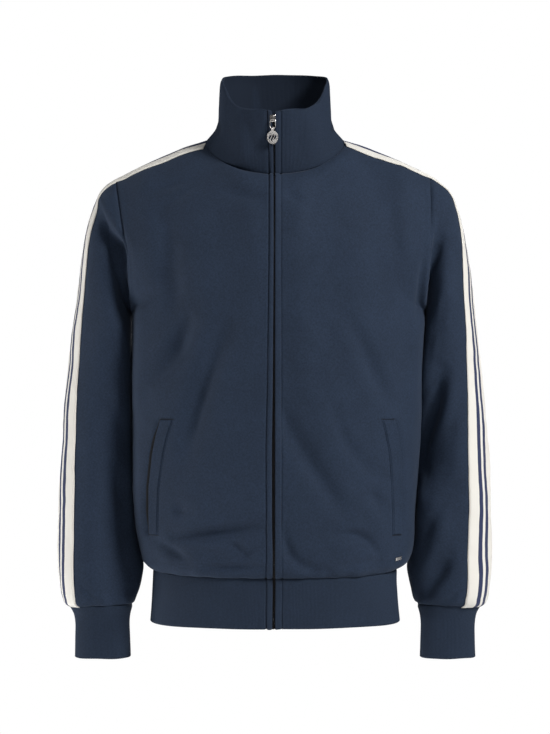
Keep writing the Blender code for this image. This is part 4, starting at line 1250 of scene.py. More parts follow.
@dataclass(frozen=True)
class Sleeves:
    """The two set-in sleeves, one piece each, which blouse over the cuffs."""

    cut: Cut
    wardrobe: Wardrobe
    spacing: float = 3.0 * MM
    wall: float = 1.2 * MM
    power: float = 2.2
    even_columns: int = 18
    clearance: float = 0.6 * MM
    near_body: float = 20 * MM
    # Where the set-back inner front begins and is full, as the ring's turn inwards.
    set_back_turn: tuple[float, float] = (-0.35, 0.95)
    # How far back the sleeve's inner line lies below the underarm, at which height, and over what reach.
    tuck: tuple[float, float, float] = (0.03, -0.256, 0.045)
    area: float = 0.222
    waves: Waves = Waves(0.075, 0.9 * MM, 41, 0.7)
    mottle: Waves = Waves(0.03, 0.18 * MM, 44)
    armhole_gathers: Waves = Waves(0.02, 0.3 * MM, 51, 0.3)
    armhole_band: tuple[float, float] = (8 * MM, 10 * MM)
    cuff_gathers: Waves = Waves(0.024, 0.65 * MM, 54, 0.25)
    cuff_band: tuple[float, float] = (10 * MM, 14 * MM)
    # How far down the sleeve eases into the armhole, and how far from its seams folds and waves come in.
    ease: float = 45 * MM
    fold_edge: float = 9 * MM
    wave_edge: float = 20 * MM
    armhole_seam: Seam = Seam(1.3 * MM, 1.9 * MM, 0.8 * MM, 5.5 * MM, 3.2 * MM)
    cuff_seam: Seam = Seam(0.9 * MM, 1.8 * MM)
    # Heights, with how far the inner front is set back there on the right and on the left, as a share.
    set_back: Table = metres(
        (-650, 0.1, 0.1), (-625, 0.46, 0.16), (-590, 0.6, 0.14), (-550, 0.56, -0.1), (-500, 0.44, -0.14),
        (-462, 0.36, 0.3), (-410, 0.28, 0.46), (-370, 0.12, 0.2), (-335, 0.14, -0.05), (-290, 0.1, 0),
        (-260, 0, 0.16), (-200, 0.06, 0.2), (-120, 0.14, 0.1),
        whole=2,
    )
    # Outer x and z, inner x and z, middle y and half depth of each ring, and the tape's turn forward in
    # degrees on the right and on the left.
    rings: Table = metres(
        (244.5, -69, 198.5, -250, 15, 66, 0, 0), (254.8, -90, 198, -264, 19, 68, 0, 0),
        (262, -114, 197, -281, 23, 69, 0, 0), (267.3, -143, 195, -300, 27, 70, 0, 1),
        (272.1, -172, 194.5, -320, 31, 70, 1, 3), (276.5, -201, 191.5, -339, 34, 69.5, 2, 4),
        (280.8, -232, 189.5, -358, 36, 69, 4, 6), (285, -264, 188.5, -379, 37.5, 68, 6, 8),
        (288.9, -298, 188, -402, 38, 67, 8, 10), (293.1, -333, 188, -426, 37.5, 66, 11, 13),
        (296, -369, 188, -450, 35.5, 65, 14, 17), (298.9, -406, 188, -474, 33, 64, 17, 21),
        (301.2, -443, 188, -499, 30, 63, 19, 23), (302.6, -480, 187.5, -524, 26, 62, 21, 25),
        (303.6, -517, 190, -550, 22, 61, 22, 27), (303.6, -553, 187, -574, 18, 60, 22, 28),
        (302.7, -583, 185.5, -595, 14.5, 58.5, 21, 28), (301.3, -608, 188, -614, 11.5, 56, 20, 27),
        (298.8, -627, 191.5, -629, 9, 52.5, 19, 26), (296, -639, 195, -639, 7, 47.5, 18, 25),
        (293.8, -645.5, 197.5, -645, 6.2, 42.5, 18, 25), (289.3, -649, 199, -647.5, 6, 38.5, 18, 25),
        whole=2,
    )

    def distances(self, total: float) -> Grid:
        """Distances round a ring, with the tape's own columns at its start and end, and its whole length."""
        steps = self.cut.tape_steps
        even = np.linspace(steps[-1], total - steps[-1], self.even_columns + 1)
        return np.concatenate((steps[:-1], even, [total - steps[1], total]))

    def armhole(self, side: Side) -> Grid:
        """The armhole's line.

        Args:
            side: the wearer's side.

        Returns:
            Its dense points, from the shoulder down its front, round and up its back.
        """
        cut, halves = self.cut, []
        for face, fullness in ((FRONT, cut.yoke_front[2]), (BACK, cut.yoke_back[2])):
            lower = np.array([cut.armhole_edge(side, face, step) for step in np.linspace(0, 1, SMOOTH_STEPS)])
            top = np.array(side.pick(cut.shoulder_points)) * (side.value, 1, 1)
            halves.append(np.concatenate((lower, cut.yoke_column(lower[-1], top, fullness)[1:])))
        return np.concatenate((halves[0][::-1], halves[1][1:]))

    def ring(self, side: Side, row: tuple[float, ...]) -> Grid:
        """A ring of the sleeve, clear of the torso.

        Args:
            side: the wearer's side.
            row: one row of the rings' table.

        Returns:
            Its dense points, from the middle of the tape round by the front.
        """
        outer_x, outer_z, inner_x, inner_z, mid_y, half_depth, *turns = row
        turn = math.radians(side.pick(turns[::-1])) + np.linspace(0, 2 * math.pi, 4 * SMOOTH_STEPS + 1)
        sine, cosine = superellipse(self.power, turn)
        outer = np.array((side.value * outer_x, mid_y, outer_z))
        tuck, height, reach = self.tuck
        inner = np.array((side.value * inner_x, mid_y + tuck * bell(inner_z - height, reach), inner_z))
        points = (outer + inner) / 2 + cosine[:, None] * (outer - inner) / 2
        share = table_value(self.set_back, side.pick((2, 1)), points[:, 2])
        share *= rising(-cosine, *self.set_back_turn) * (sine > 0)
        points[:, 1] -= sine * half_depth * (1 - share)
        for point in points:
            if point[2] < self.cut.underarm_z + self.near_body:
                clear = self.cut.side_of_torso(side, point[1], point[2]) + self.clearance
                point[0] = side.value * max(side.value * point[0], clear)
        return points

    def fine(self, side: Side, front: Cloth, back: Cloth) -> Cloth:
        """A sleeve as it lies, its top on the armhole of the fine panels.

        Args:
            side: which sleeve.
            front: the front panel on its side.
            back: the back.

        Returns:
            The sleeve, rows from the cuff up, columns from the tape's middle round by the front.
        """
        rings = [self.armhole(side)] + [self.ring(side, row) for row in self.rings]
        coarse = np.stack([
            at_distances(ring, self.distances(lengths_along(ring)[-1])[:-1]) for ring in rings[::-1]
        ])
        count = coarse.shape[1]
        rows = places_along(coarse, self.spacing)
        even = places_along(across_first(coarse[:, 2:count - 1]), self.spacing, (False, False)) + 2
        tape = np.linspace(0, 2, 9)
        columns = np.concatenate((tape[:-1], even, count - tape[-2:0:-1]))
        grid = through_closed(through(coarse, rows), columns)
        underarm = len(self.cut.torso_levels) - 1
        up_front = front.grid[front.rows >= underarm, -1]
        up_back = back.grid[back.rows >= underarm, side.pick((-1, 0))]
        loop = np.concatenate((up_front[::-1], up_back[1:]))
        stops = self.distances(lengths_along(loop)[-1])
        seam = at_distances(loop, np.interp(columns, np.arange(count + 1), stops))
        _, up = travel(grid)
        grid += (seam - grid[-1]) * (1 - rising(up[-1:] - up, 0, self.ease))[..., None]
        cloth = Cloth(grid, normals_of(grid, grid.mean(axis=1), closed=True), rows, columns)
        across, up = travel(grid)
        edge = np.minimum(up, up[-1:] - up)
        soft = self.waves.lift(across, up, side) + self.mottle.lift(across, up, side)
        soft *= np.cos(2 * math.pi * cloth.columns / count) * 0.25 + 0.75
        folds = fold_lift(grid, cloth.normals, FOLDS)
        lift = rising(edge, 0, self.fold_edge) * folds + rising(edge, 0, self.wave_edge) * soft
        grid = cloth.moved(lift)
        return Cloth(grid, normals_of(grid, grid.mean(axis=1), closed=True), rows, columns)

    def seamed(self, cloth: Cloth, side: Side) -> Cloth:
        """Rolls in a sleeve's armhole and cuff seams and gathers it beside them.

        Args:
            cloth: the sleeve as it lies.
            side: the wearer's side.

        Returns:
            The sleeve as it is sewn.
        """
        across, up = travel(cloth.grid)
        top = up[-1:] - up
        lift = self.armhole_seam.lift(top) + self.cuff_seam.lift(up)
        lift += self.armhole_gathers.lift(across, top, side) * beside(top, self.armhole_band)
        lift += self.cuff_gathers.lift(across, up, side) * beside(up, self.cuff_band)
        grid = cloth.moved(lift)
        return Cloth(grid, normals_of(grid, grid.mean(axis=1), closed=True), cloth.rows, cloth.columns)

    def build(self, fronts: dict[Side, Cloth], back: Cloth) -> dict[Side, Cloth]:
        """Sews both sleeves.

        Args:
            fronts: the front panels.
            back: the back.

        Returns:
            The sleeves as they lie, without their seams.
        """
        sleeves = {}
        for side in Side:
            sleeve = self.fine(side, fronts[side], back)
            sleeves[side] = sleeve
            Piece(
                f"sleeve_{side.word}_shell", "navy_knit", self.wardrobe.knit, (f"sleeve_{side.word}",),
                flat=(0.44, 0.64), area=self.area, rests_on=(f"cuff_{side.word}",),
            ).sew(self.seamed(sleeve, side), self.wall, closed=True)
        return sleeves


@dataclass(frozen=True)
class Tapes:
    """The striped tapes, from the neck over each shoulder and down the sleeve to the cuff."""

    cut: Cut
    wardrobe: Wardrobe
    gap: float = 0.7 * MM
    wall: float = 0.8 * MM
    width: float = 0.055
    length: float = 0.745
    parts: int = 16
    under_collar: float = 3.0 * MM
    waves: Waves = Waves(0.02, 0.12 * MM, 61)
    edge_roll: Seam = Seam(0.35 * MM, 1.2 * MM)
    # Shares of the way along the shoulder, then heights down the sleeve, with how far the tape lies
    # forward of the shoulder line and of the sleeve's own middle, on the right and on the left.
    on_shoulder: Table = (
        (0.0, -0.003, -0.0055), (0.2, -0.0005, -0.003), (0.5, -0.002, -0.0015), (0.75, -0.0035, -0.004),
        (0.9, -0.0075, -0.0075), (1.0, -0.0115, -0.0125),
    )
    on_sleeve: Table = metres(
        (-50, -11.5, -12.5), (-59, -7.5, -10), (-73, -0.5, -4.5), (-90, 6.5, 2.5), (-108, 12.5, 9.5),
        (-127, 18, 16.5), (-146, 22.5, 21.5), (-185, 24.2, 24), (-225, 23.5, 27.5), (-265, 20.7, 30.5),
        (-305, 18.2, 29), (-344, 17.2, 26.2), (-384, 14, 22.6), (-424, 11.2, 19.6), (-485, 9.8, 17.4),
        (-525, 9, 15.7), (-564, 7.5, 13.4), (-602, 7.8, 12.2), (-621, 6.2, 12.5), (-637, 3, 11.5),
        (-648, -1.5, 7.5),
    )

    def band(self, line: Grid, normals: Grid, middle: float) -> tuple[Grid, Grid]:
        """Points and normals across the tape, on a line that it crosses at a distance along it."""
        stops = middle + np.linspace(-0.5, 0.5, self.parts + 1) * self.width
        along = lengths_along(line)
        return sampled(stops, along, line), sampled(stops, along, normals)

    def over_shoulder(self, side: Side, front: Cloth, back: Cloth) -> list[tuple[Grid, Grid]]:
        """Bands across the tape on the shoulder.

        Args:
            side: the wearer's side.
            front: the front panel on that side.
            back: the back.

        Returns:
            Points and normals of each band, from the neck to the armhole.
        """
        neck, shoulder = self.cut.neck_columns, self.cut.shoulder_columns
        middle, bands = neck + shoulder, []
        low = len(self.cut.torso_levels) + len(self.cut.armhole_steps) - 1
        places = front.columns[(front.columns >= neck) & (front.columns < middle)]
        for place in places:
            column = int(np.argmin(np.abs(front.columns - place)))
            behind = int(np.argmin(np.abs(back.columns - (middle + side.value * place))))
            up, down = front.rows >= low, back.rows >= low
            line = np.concatenate((front.grid[up, column], back.grid[down, behind][::-1][1:]))
            normals = np.concatenate((front.normals[up, column], back.normals[down, behind][::-1][1:]))
            ridge = lengths_along(front.grid[up, column])[-1]
            forward = table_value(self.on_shoulder, side.pick((2, 1)), (place - neck) / shoulder)
            bands.append(self.band(line, normals, ridge - forward))
        onward = bands[0][0] - bands[1][0]
        end = bands[0][0] + onward / np.linalg.norm(onward, axis=1, keepdims=True) * self.under_collar
        return [(end, bands[0][1]), *bands]

    def down_sleeve(self, side: Side, sleeve: Cloth) -> list[tuple[Grid, Grid]]:
        """Bands across the tape on the sleeve.

        Args:
            side: the wearer's side.
            sleeve: the sleeve on that side.

        Returns:
            Points and normals of each band, from the armhole to the cuff.
        """
        bands, count = [], len(sleeve.columns)
        half = count // 2
        order = np.r_[half:0:-1, 0, count - 1:half:-1]
        for row in range(len(sleeve.rows) - 1, -1, -1):
            line, normals = sleeve.grid[row, order], sleeve.normals[row, order]
            forward = table_value(self.on_sleeve, side.pick((2, 1)), sleeve.grid[row, 0, 2])
            bands.append(self.band(line, normals, lengths_along(line)[half] - forward))
        return bands

    def build(self, fronts: dict[Side, Cloth], back: Cloth, sleeves: dict[Side, Cloth]) -> dict[Side, Cloth]:
        """Lays both tapes.

        Args:
            fronts: the front panels.
            back: the back.
            sleeves: the sleeves.

        Returns:
            The tapes' outer faces.
        """
        tapes = {}
        for side in Side:
            bands = self.over_shoulder(side, fronts[side], back) + self.down_sleeve(side, sleeves[side])
            grid, normals = np.stack([band[0] for band in bands]), np.stack([band[1] for band in bands])
            tapes[side] = self.lay(side, grid, normals)
        return tapes

    def lay(self, side: Side, grid: Grid, normals: Grid) -> Cloth:
        """Lays one tape.

        Args:
            side: the wearer's side.
            grid: the points that the tape covers.
            normals: their normals.

        Returns:
            Its outer face.
        """
        normals = normals / np.linalg.norm(normals, axis=2, keepdims=True)
        rows = grid.shape[0]
        across, _ = travel(grid)
        along = lengths_along(grid[:, grid.shape[1] // 2])
        edge = np.minimum(across, across[:, -1:] - across)
        lift = self.gap + self.wall + self.edge_roll.lift(edge) + self.waves.lift(across, along[:, None])
        cloth = Cloth(grid + normals * lift[..., None], normals, np.arange(rows), np.arange(grid.shape[1]))
        half = across[:, -1:] / 2
        place = ((across - half) * self.width / (2 * half), np.broadcast_to(along[:, None], across.shape))
        mesh = grid_mesh(f"tape_{side.word}_cloth", cloth.grid, place, cloth.normals, (False, False))
        Piece(
            f"tape_{side.word}_cloth", "striped_tape", self.wardrobe.tape, (f"tape_{side.word}",),
            flat=(self.width, self.length), held="laid", rests_on=(f"sleeve_{side.word}_shell",),
        ).put(mesh, self.wall)
        return cloth


@dataclass(frozen=True)
class RibKnit:
    """Ribbed knit doubled over at its free edge: the pitch and height of its ribs and its whole wall."""

    pitch: float = 1.85 * MM
    height: float = 0.42 * MM
    wall: float = 2.2 * MM
    bead: float = 0.45 * MM
    per_rib: int = 4
    fold_steps: int = 4
    inner_rows: int = 4

    def columns(self, coarse: Grid, closed: bool) -> tuple[Grid, Grid]:
        """Spreads the ribs evenly along a piece.

        Args:
            coarse: a piece's coarse grid.
            closed: whether its rows run round.

        Returns:
            Places of the fine columns in it, and their distances along it.
        """
        ring = coarse[len(coarse) // 2]
        ring = np.concatenate((ring, ring[:1])) if closed else ring
        along = lengths_along(ring)
        count = round(along[-1] / self.pitch) * self.per_rib
        distances = np.linspace(0, along[-1], count + 1)[:count if closed else count + 1]
        return np.interp(distances, along, np.arange(len(ring))), distances

    def ribs(self, distances: Grid) -> Grid:
        """Height of the ribs at distances along the ring."""
        return self.height * (0.5 * np.cos(2 * math.pi * distances / self.pitch) + 0.5)

    def doubled(self, outer: Grid, normals: Grid, lift: Grid) -> tuple[Grid, Grid, Grid]:
        """The whole folded wall round an outer face whose last row is its free edge.

        Args:
            outer: the outer face's points.
            normals: its normals.
            lift: how far its ribs and creases lift it.

        Returns:
            The closed wall's points, its directions outwards, and distances round it from row to row.
        """
        outer = outer.copy()
        step = outer[-1] - outer[-2]
        free = step / np.linalg.norm(step, axis=1, keepdims=True)
        outer[-1] -= free * self.wall / 2
        turn = np.linspace(0, math.pi, self.fold_steps + 2)[1:-1]
        centre = outer[-1] - normals[-1] * self.wall / 2
        radius = self.wall / 2 + lift[-1] * 0.7 + self.bead
        fold_normals = np.stack([normals[-1] * math.cos(angle) + free * math.sin(angle) for angle in turn])
        fold = centre + fold_normals * radius[None, :, None]
        kept = np.linspace(len(outer) - 1, 0, self.inner_rows + 1).astype(int)
        inner = outer[kept] - normals[kept] * (self.wall + lift[kept] * 0.6)[..., None]
        face = outer + normals * lift[..., None]
        points = np.concatenate((face, fold, inner))
        directions = np.concatenate((normals, fold_normals, -normals[kept]))
        middle = points[:, points.shape[1] // 2]
        return points, directions, lengths_along(middle)


@dataclass(frozen=True)
class Cuffs:
    """The ribbed cuffs, closed tubes folded at the wrist."""

    wardrobe: Wardrobe
    knit: RibKnit = RibKnit()
    power: float = 2.2
    coarse_columns: int = 24
    spacing: float = 6.0 * MM
    waves: Waves = Waves(0.05, 0.7 * MM, 71, 0.4, 5)
    wave_edge: float = 30 * MM
    seam: Seam = Seam(0.7 * MM, 2.5 * MM)
    # Height, middle x, half width, half depth and middle y of each ring, from the sleeve down.
    rings: Table = metres(
        (-648, 244.4, 44.7, 37.5, 6), (-653, 243.3, 42.5, 35.5, 5.7), (-660, 242.2, 39.6, 33.3, 5.2),
        (-672, 241.6, 37.8, 31.8, 4.5), (-695, 241.5, 38, 31.8, 3), (-720.5, 241.5, 38.6, 32.2, 2),
    )

    def build(self) -> None:
        """Sews both cuffs."""
        turn = np.linspace(0, 2 * math.pi, self.coarse_columns, endpoint=False)
        sine, cosine = superellipse(self.power, turn)
        for side in Side:
            coarse = []
            for z, mid_x, half_width, half_depth, mid_y in self.rings:
                x = side.value * (mid_x + half_width * cosine)
                coarse.append(np.stack([x, mid_y - half_depth * sine, np.full(len(x), z)], axis=1))
            coarse = np.stack(coarse)
            places, distances = self.knit.columns(coarse, closed=True)
            grid = through_closed(through(coarse, places_along(coarse, self.spacing)), places)
            normals = normals_of(grid, grid.mean(axis=1), closed=True)
            _, down = travel(grid)
            bulge = self.waves.lift(distances[None, :], down, side) * rising(down, 0, self.wave_edge)
            ribs = self.knit.ribs(distances)[None, :] * rising(down, 0.5 * MM, 4 * MM)
            lift = ribs + bulge + self.seam.lift(down)
            points, directions, around = self.knit.doubled(grid, normals, lift)
            place = np.broadcast_arrays(distances[None, :], around[:, None])
            mesh = grid_mesh(f"cuff_{side.word}_rib", points, place, directions, (True, True))
            Piece(
                f"cuff_{side.word}_rib", "navy_rib", self.wardrobe.rib, (f"cuff_{side.word}",),
                flat=(0.232, 0.073), held="stretched", rests_on=(f"sleeve_{side.word}_shell",),
            ).put(mesh)


@dataclass(frozen=True)
class OpenRibs:
    """The waistband and the stand collar: ribbed, doubled, open at the zip and faced plainly beside it."""

    cut: Cut
    wardrobe: Wardrobe
    knit: RibKnit = RibKnit()
    facing: float = 9.0 * MM
    band_columns: int = 36
    collar_columns: int = 30
    band_spacing: float = 6.5 * MM
    collar_spacing: float = 4.5 * MM
    wave_edge: float = 20 * MM
    crease_edge: float = 12 * MM
    band_waves: Waves = Waves(0.07, 0.7 * MM, 81, 0.3)
    collar_waves: Waves = Waves(0.045, 0.6 * MM, 91, 0.35)
    band_seam: Seam = Seam(0.4 * MM, 2.2 * MM)
    collar_seam: Seam = Seam(0.2 * MM, 1.8 * MM)
    # Heights, then right and left half widths, and depths in front and behind.
    band: Table = metres(
        (-602.6, 170, 170, 106.2, 101.8), (-625, 171.2, 171.2, 105.8, 101.5),
        (-648, 172.5, 172.5, 106, 101.5), (-670, 174.2, 174.2, 106.8, 102),
    )
    # The collar's top edge: turn from the front middle in degrees, half width, y and z.
    collar_top: Table = (
        (0, 0.0, -0.085, 0.0305), (15, 0.0197, -0.0835, 0.035), (32, 0.0406, -0.0745, 0.0362),
        (47, 0.056, -0.058, 0.0445), (60, 0.0652, -0.043, 0.0565), (70, 0.0708, -0.03, 0.0705),
        (80, 0.0744, -0.015, 0.0795), (90, 0.0756, 0.0, 0.0858), (110, 0.0726, 0.023, 0.093),
        (135, 0.0575, 0.045, 0.0972), (160, 0.027, 0.059, 0.1), (180, 0.0, 0.062, 0.1002),
    )
    # Shares of the collar's height, and how far its sides have drawn in from the foot to the top there.
    collar_flare: Table = (
        (0, 0), (0.08, 0.3), (0.16, 0.6), (0.28, 0.83), (0.52, 0.9), (0.76, 0.94), (0.94, 0.99), (1, 1.09),
    )
    collar_creases: tuple[Crease, ...] = (
        *creases(
            FRONT,
            (-52, 32, -26, -34, 10, -2.2, 5, 0, 0.1), (-64, 38, -38, -40, 11, 2, 5, 0, 0.1),
            (58, 36, 45, -32, 10, 1.8, 0, 0, 0.1), (36, 26, 30, -30, 11, -1.6, 0, 0, 0.1),
        ),
        *creases(
            BACK,
            (30, 85, 40, 5, 18, -1.4, 2), (-20, 90, -30, 10, 19, -1.2), (-55, 80, -62, 15, 12, 1.8),
        ),
    )

    def open_ring(self, columns: int, ring: Grid) -> Grid:
        """A ring's coarse points, with a placket's column at both ends."""
        total = lengths_along(ring)[-1]
        inner = np.linspace(self.cut.placket, total - self.cut.placket, columns)
        return at_distances(ring, np.concatenate(([0.0], inner, [total])))

    def band_ring(self, row: tuple[float, ...]) -> Grid:
        """A ring of the waistband.

        Args:
            row: one row of the band's table.

        Returns:
            Its dense points, from the zip's left edge round the back to its right edge.
        """
        z, right, left, front, behind = row
        seam_y, halves = self.cut.side_seam_y, []
        for side in Side:
            parts = []
            for face, depth in ((FRONT, front), (BACK, behind)):
                sine, cosine = superellipse(self.cut.torso_power, np.linspace(0, math.pi / 2, SMOOTH_STEPS))
                y = seam_y + face.value * (depth - face.value * seam_y) * cosine
                level = z + self.cut.side_rise_at(z) * sine ** 6
                parts.append(np.stack([side.value * side.pick((left, right)) * sine, y, level], axis=1))
            halves.append(np.concatenate((self.cut.from_zip_edge(parts[0], side), parts[1][::-1][1:])))
        return np.concatenate((halves[0], halves[1][::-1][1:]))

    def collar_ring(self, height: float, narrowed: float) -> Grid:
        """A ring of the collar.

        Args:
            height: the share of the collar's height.
            narrowed: how far its sides have drawn in there.

        Returns:
            Its dense points, from the zip's left edge round the back to its right edge.
        """
        turn = np.linspace(0, math.pi, 2 * SMOOTH_STEPS + 1)
        half = len(turn) // 2 + 1
        front = self.cut.neckline(Side.LEFT, FRONT, turn[:half])
        foot = np.concatenate((front, self.cut.neckline(Side.LEFT, BACK, turn[half:])))
        table = np.array(self.collar_top)
        coarse = through(table[:, None, 1:], np.interp(np.degrees(turn), table[:, 0], np.arange(len(table))))
        top = coarse[:, 0]
        sideways = np.sin(turn)[:, None] ** 2
        left = foot + (top - foot) * (height * (1 - sideways) + narrowed * sideways)
        left[:, 2] = foot[:, 2] + (top[:, 2] - foot[:, 2]) * height
        halves = [self.cut.from_zip_edge(left * (side.value, 1, 1), side) for side in Side]
        return np.concatenate((halves[0], halves[1][::-1][1:]))

    def lying(self, coarse: Grid, spacing: float) -> tuple[Cloth, Grid]:
        """A fine ring piece as it lies, and the distances of its columns along it."""
        places, distances = self.knit.columns(coarse, closed=False)
        rows = places_along(coarse, spacing)
        grid = across_first(through(across_first(through(coarse, rows)), places))
        return Cloth(grid, normals_of(grid, self.cut.inside(grid)), rows, places), distances

    def ribbed(self, cloth: Cloth, distances: Grid, other: Grid) -> Grid:
        """Lifts a piece by its ribs away from the zip and its stitch lines beside it.

        Args:
            cloth: the piece as it lies.
            distances: its columns' distances along it.
            other: what lifts it besides.

        Returns:
            The whole lift.
        """
        from_left, from_right = distances[None, :], (distances[-1] - distances)[None, :]
        near = np.minimum(from_left, from_right)
        _, up = travel(cloth.grid)
        lift = self.knit.ribs(distances)[None, :] * rising(near, self.facing, self.facing + 2 * MM)
        lift = lift * rising(up, 0.5 * MM, 3 * MM) + other
        placket = Placket()
        for side, reach in ((Side.LEFT, from_left), (Side.RIGHT, from_right)):
            lift = lift + placket.lift(side, reach, placket.line(side, cloth.grid[..., 2]))
        return lift

    def put(
        self, name: str, cloth: Cloth, distances: Grid, lift: Grid, flat: tuple[float, float], carrier: str,
    ) -> None:
        """Sews one doubled ring piece in place of its node.

        Args:
            name: its node.
            cloth: the piece as it lies.
            distances: its columns' distances along it.
            lift: its ribs' and creases' lift.
            flat: its flat size.
            carrier: the piece that it rests on.
        """
        points, directions, around = self.knit.doubled(cloth.grid, cloth.normals, lift)
        place = np.broadcast_arrays(distances[None, :], around[:, None])
        mesh = grid_mesh(f"{name}_rib", points, place, directions, (True, False))
        finish = self.wardrobe.collar_rib if name == "collar" else self.wardrobe.rib
        Piece(
            f"{name}_rib", "navy_rib", finish, (name,), flat=flat, held="stretched", rests_on=(carrier,),
        ).put(mesh)

    def build_band(self) -> Cloth:
        """Sews the waistband.

        Returns:
            Its face, rows from its seam down.
        """
        coarse = np.stack([self.open_ring(self.band_columns, self.band_ring(row)) for row in self.band])
        cloth, distances = self.lying(coarse, self.band_spacing)
        _, down = travel(cloth.grid)
        soft = self.band_waves.lift(distances[None, :], down) * rising(down, 0, self.wave_edge)
        lift = self.ribbed(cloth, distances, soft + self.band_seam.lift(down))
        self.put("waistband", cloth, distances, lift, (0.88, 0.067), "front_left_shell")
        return cloth

    def build_collar(self) -> Cloth:
        """Sews the collar.

        Returns:
            Its face, rows from the neck seam up.
        """
        rings = [self.open_ring(self.collar_columns, self.collar_ring(*row)) for row in self.collar_flare]
        cloth, distances = self.lying(np.stack(rings), self.collar_spacing)
        _, up = travel(cloth.grid)
        soft = self.collar_waves.lift(distances[None, :], up) * rising(up, 0, self.wave_edge)
        folds = fold_lift(cloth.grid, cloth.normals, self.collar_creases) * rising(up, 0, self.crease_edge)
        lift = self.ribbed(cloth, distances, soft + folds + self.collar_seam.lift(up))
        self.put("collar", cloth, distances, lift, (0.56, 0.115), "back_shell")
        return cloth


def resampled(points: Grid, normals: Grid, pitch: float) -> tuple[Grid, Grid, Grid]:
    """Places points evenly on a line.

    Args:
        points: the line's points.
        normals: their normals.
        pitch: the distance aimed at.

    Returns:
        The new points, their normals and the line's direction at each.
    """
    along = lengths_along(points)
    stops = np.linspace(0, along[-1], max(2, round(along[-1] / pitch) + 1))
    placed = at_distances(points, stops)
    facing = sampled(stops, along, normals)
    facing /= np.linalg.norm(facing, axis=1, keepdims=True)
    heading = np.gradient(placed, axis=0)
    return placed, facing, heading / np.linalg.norm(heading, axis=1, keepdims=True)


def standing(point: Grid, normal: Grid, heading: Grid, size: tuple[float, float, float]) -> Matrix:
    """The matrix of a small shape on a line, its size given across, along and out from the cloth."""
    across = np.cross(heading, normal)
    turn = Matrix((across, heading, normal)).transposed().to_4x4()
    return Matrix.Translation(point) @ turn @ Matrix.Diagonal((*size, 1.0))


def stamped(name: str, shape: bmesh.types.BMesh, matrices: list[Matrix]) -> bpy.types.Mesh:
    """One mesh with a small shape repeated.

    Args:
        name: the mesh's name.
        shape: the small shape, which is used up.
        matrices: where it goes.

    Returns:
        The mesh.
    """
    one = bpy.data.meshes.new(f"{name}_one")
    shape.to_mesh(one)
    shape.clear()
    corners = np.empty(len(one.vertices) * 3, np.float32)
    one.vertices.foreach_get("co", corners)
    corners = corners.reshape(-1, 3)
    for matrix in matrices:
        turn = np.array(matrix)
        one.vertices.foreach_set("co", (corners @ turn[:3, :3].T + turn[:3, 3]).astype(np.float32).ravel())
        shape.from_mesh(one)
    mesh = bpy.data.meshes.new(name)
    shape.to_mesh(mesh)
    shape.free()
    bpy.data.meshes.remove(one)
    return mesh


@dataclass(frozen=True)
class Thread:
    """Rows of sewn stitches, each a short rounded length of thread."""

    material: bpy.types.Material
    slot: str
    pitch: float = 3.0 * MM
    length: float = 2.3 * MM
    thickness: float = 0.5 * MM

    def rows(self, name: str, lines: list[tuple[Grid, Grid]], lift: float = 0.0) -> None:
        """Sews stitches along lines.

        Args:
            name: the name of their piece.
            lines: points and normals of each line.
            lift: how far the stitches' middles stand out from the lines.
        """
        size = (self.thickness / 2, self.length / 2, self.thickness / 2)
        matrices = []
        for points, normals in lines:
            for point, normal, heading in zip(*resampled(points, normals, self.pitch)):
                matrices.append(standing(point + normal * lift, normal, heading, size))
        shape = bmesh.new()
        bmesh.ops.create_uvsphere(shape, u_segments=6, v_segments=4, radius=1.0)
        mesh = stamped(name, shape, matrices)
        mesh.shade_smooth()
        Piece(name, self.slot, self.material).put(mesh)


@dataclass(frozen=True)
class FrontEdges:
    """The cloth on each side of the zip, from the waistband's edge to the collar's top."""

    band: Cloth
    fronts: dict[Side, Cloth]
    collar: Cloth
    gaps: Table
    from_row: float = 4.0

    def pieces(self, side: Side) -> list[tuple[Cloth, bool]]:
        """The cloth beside the zip.

        Args:
            side: the wearer's side.

        Returns:
            The pieces from the waistband up, each with whether the zip lies at its last column.
        """
        turned = Cloth(self.band.grid[::-1], self.band.normals[::-1], self.band.rows[::-1], self.band.columns)
        front = self.fronts[side]
        kept = front.rows >= self.from_row
        above = Cloth(front.grid[kept], front.normals[kept], front.rows[kept], front.columns)
        return [(turned, side is Side.RIGHT), (above, False), (self.collar, side is Side.RIGHT)]

    def line(self, side: Side, distance: float | None = None) -> tuple[Grid, Grid]:
        """A line beside the zip, from the hem up.

        Args:
            side: the wearer's side.
            distance: how far from the zip it runs, or None for the placket's stitch line.

        Returns:
            Its points and normals.
        """
        points, normals = [], []
        for piece, from_last in self.pieces(side):
            heights = piece.grid[:, -1 if from_last else 0, 2]
            away = Placket().line(side, heights) if distance is None else distance
            found = piece.line_at(away, from_last)
            points.append(found[0])
            normals.append(found[1])
        return np.concatenate(points), np.concatenate(normals)


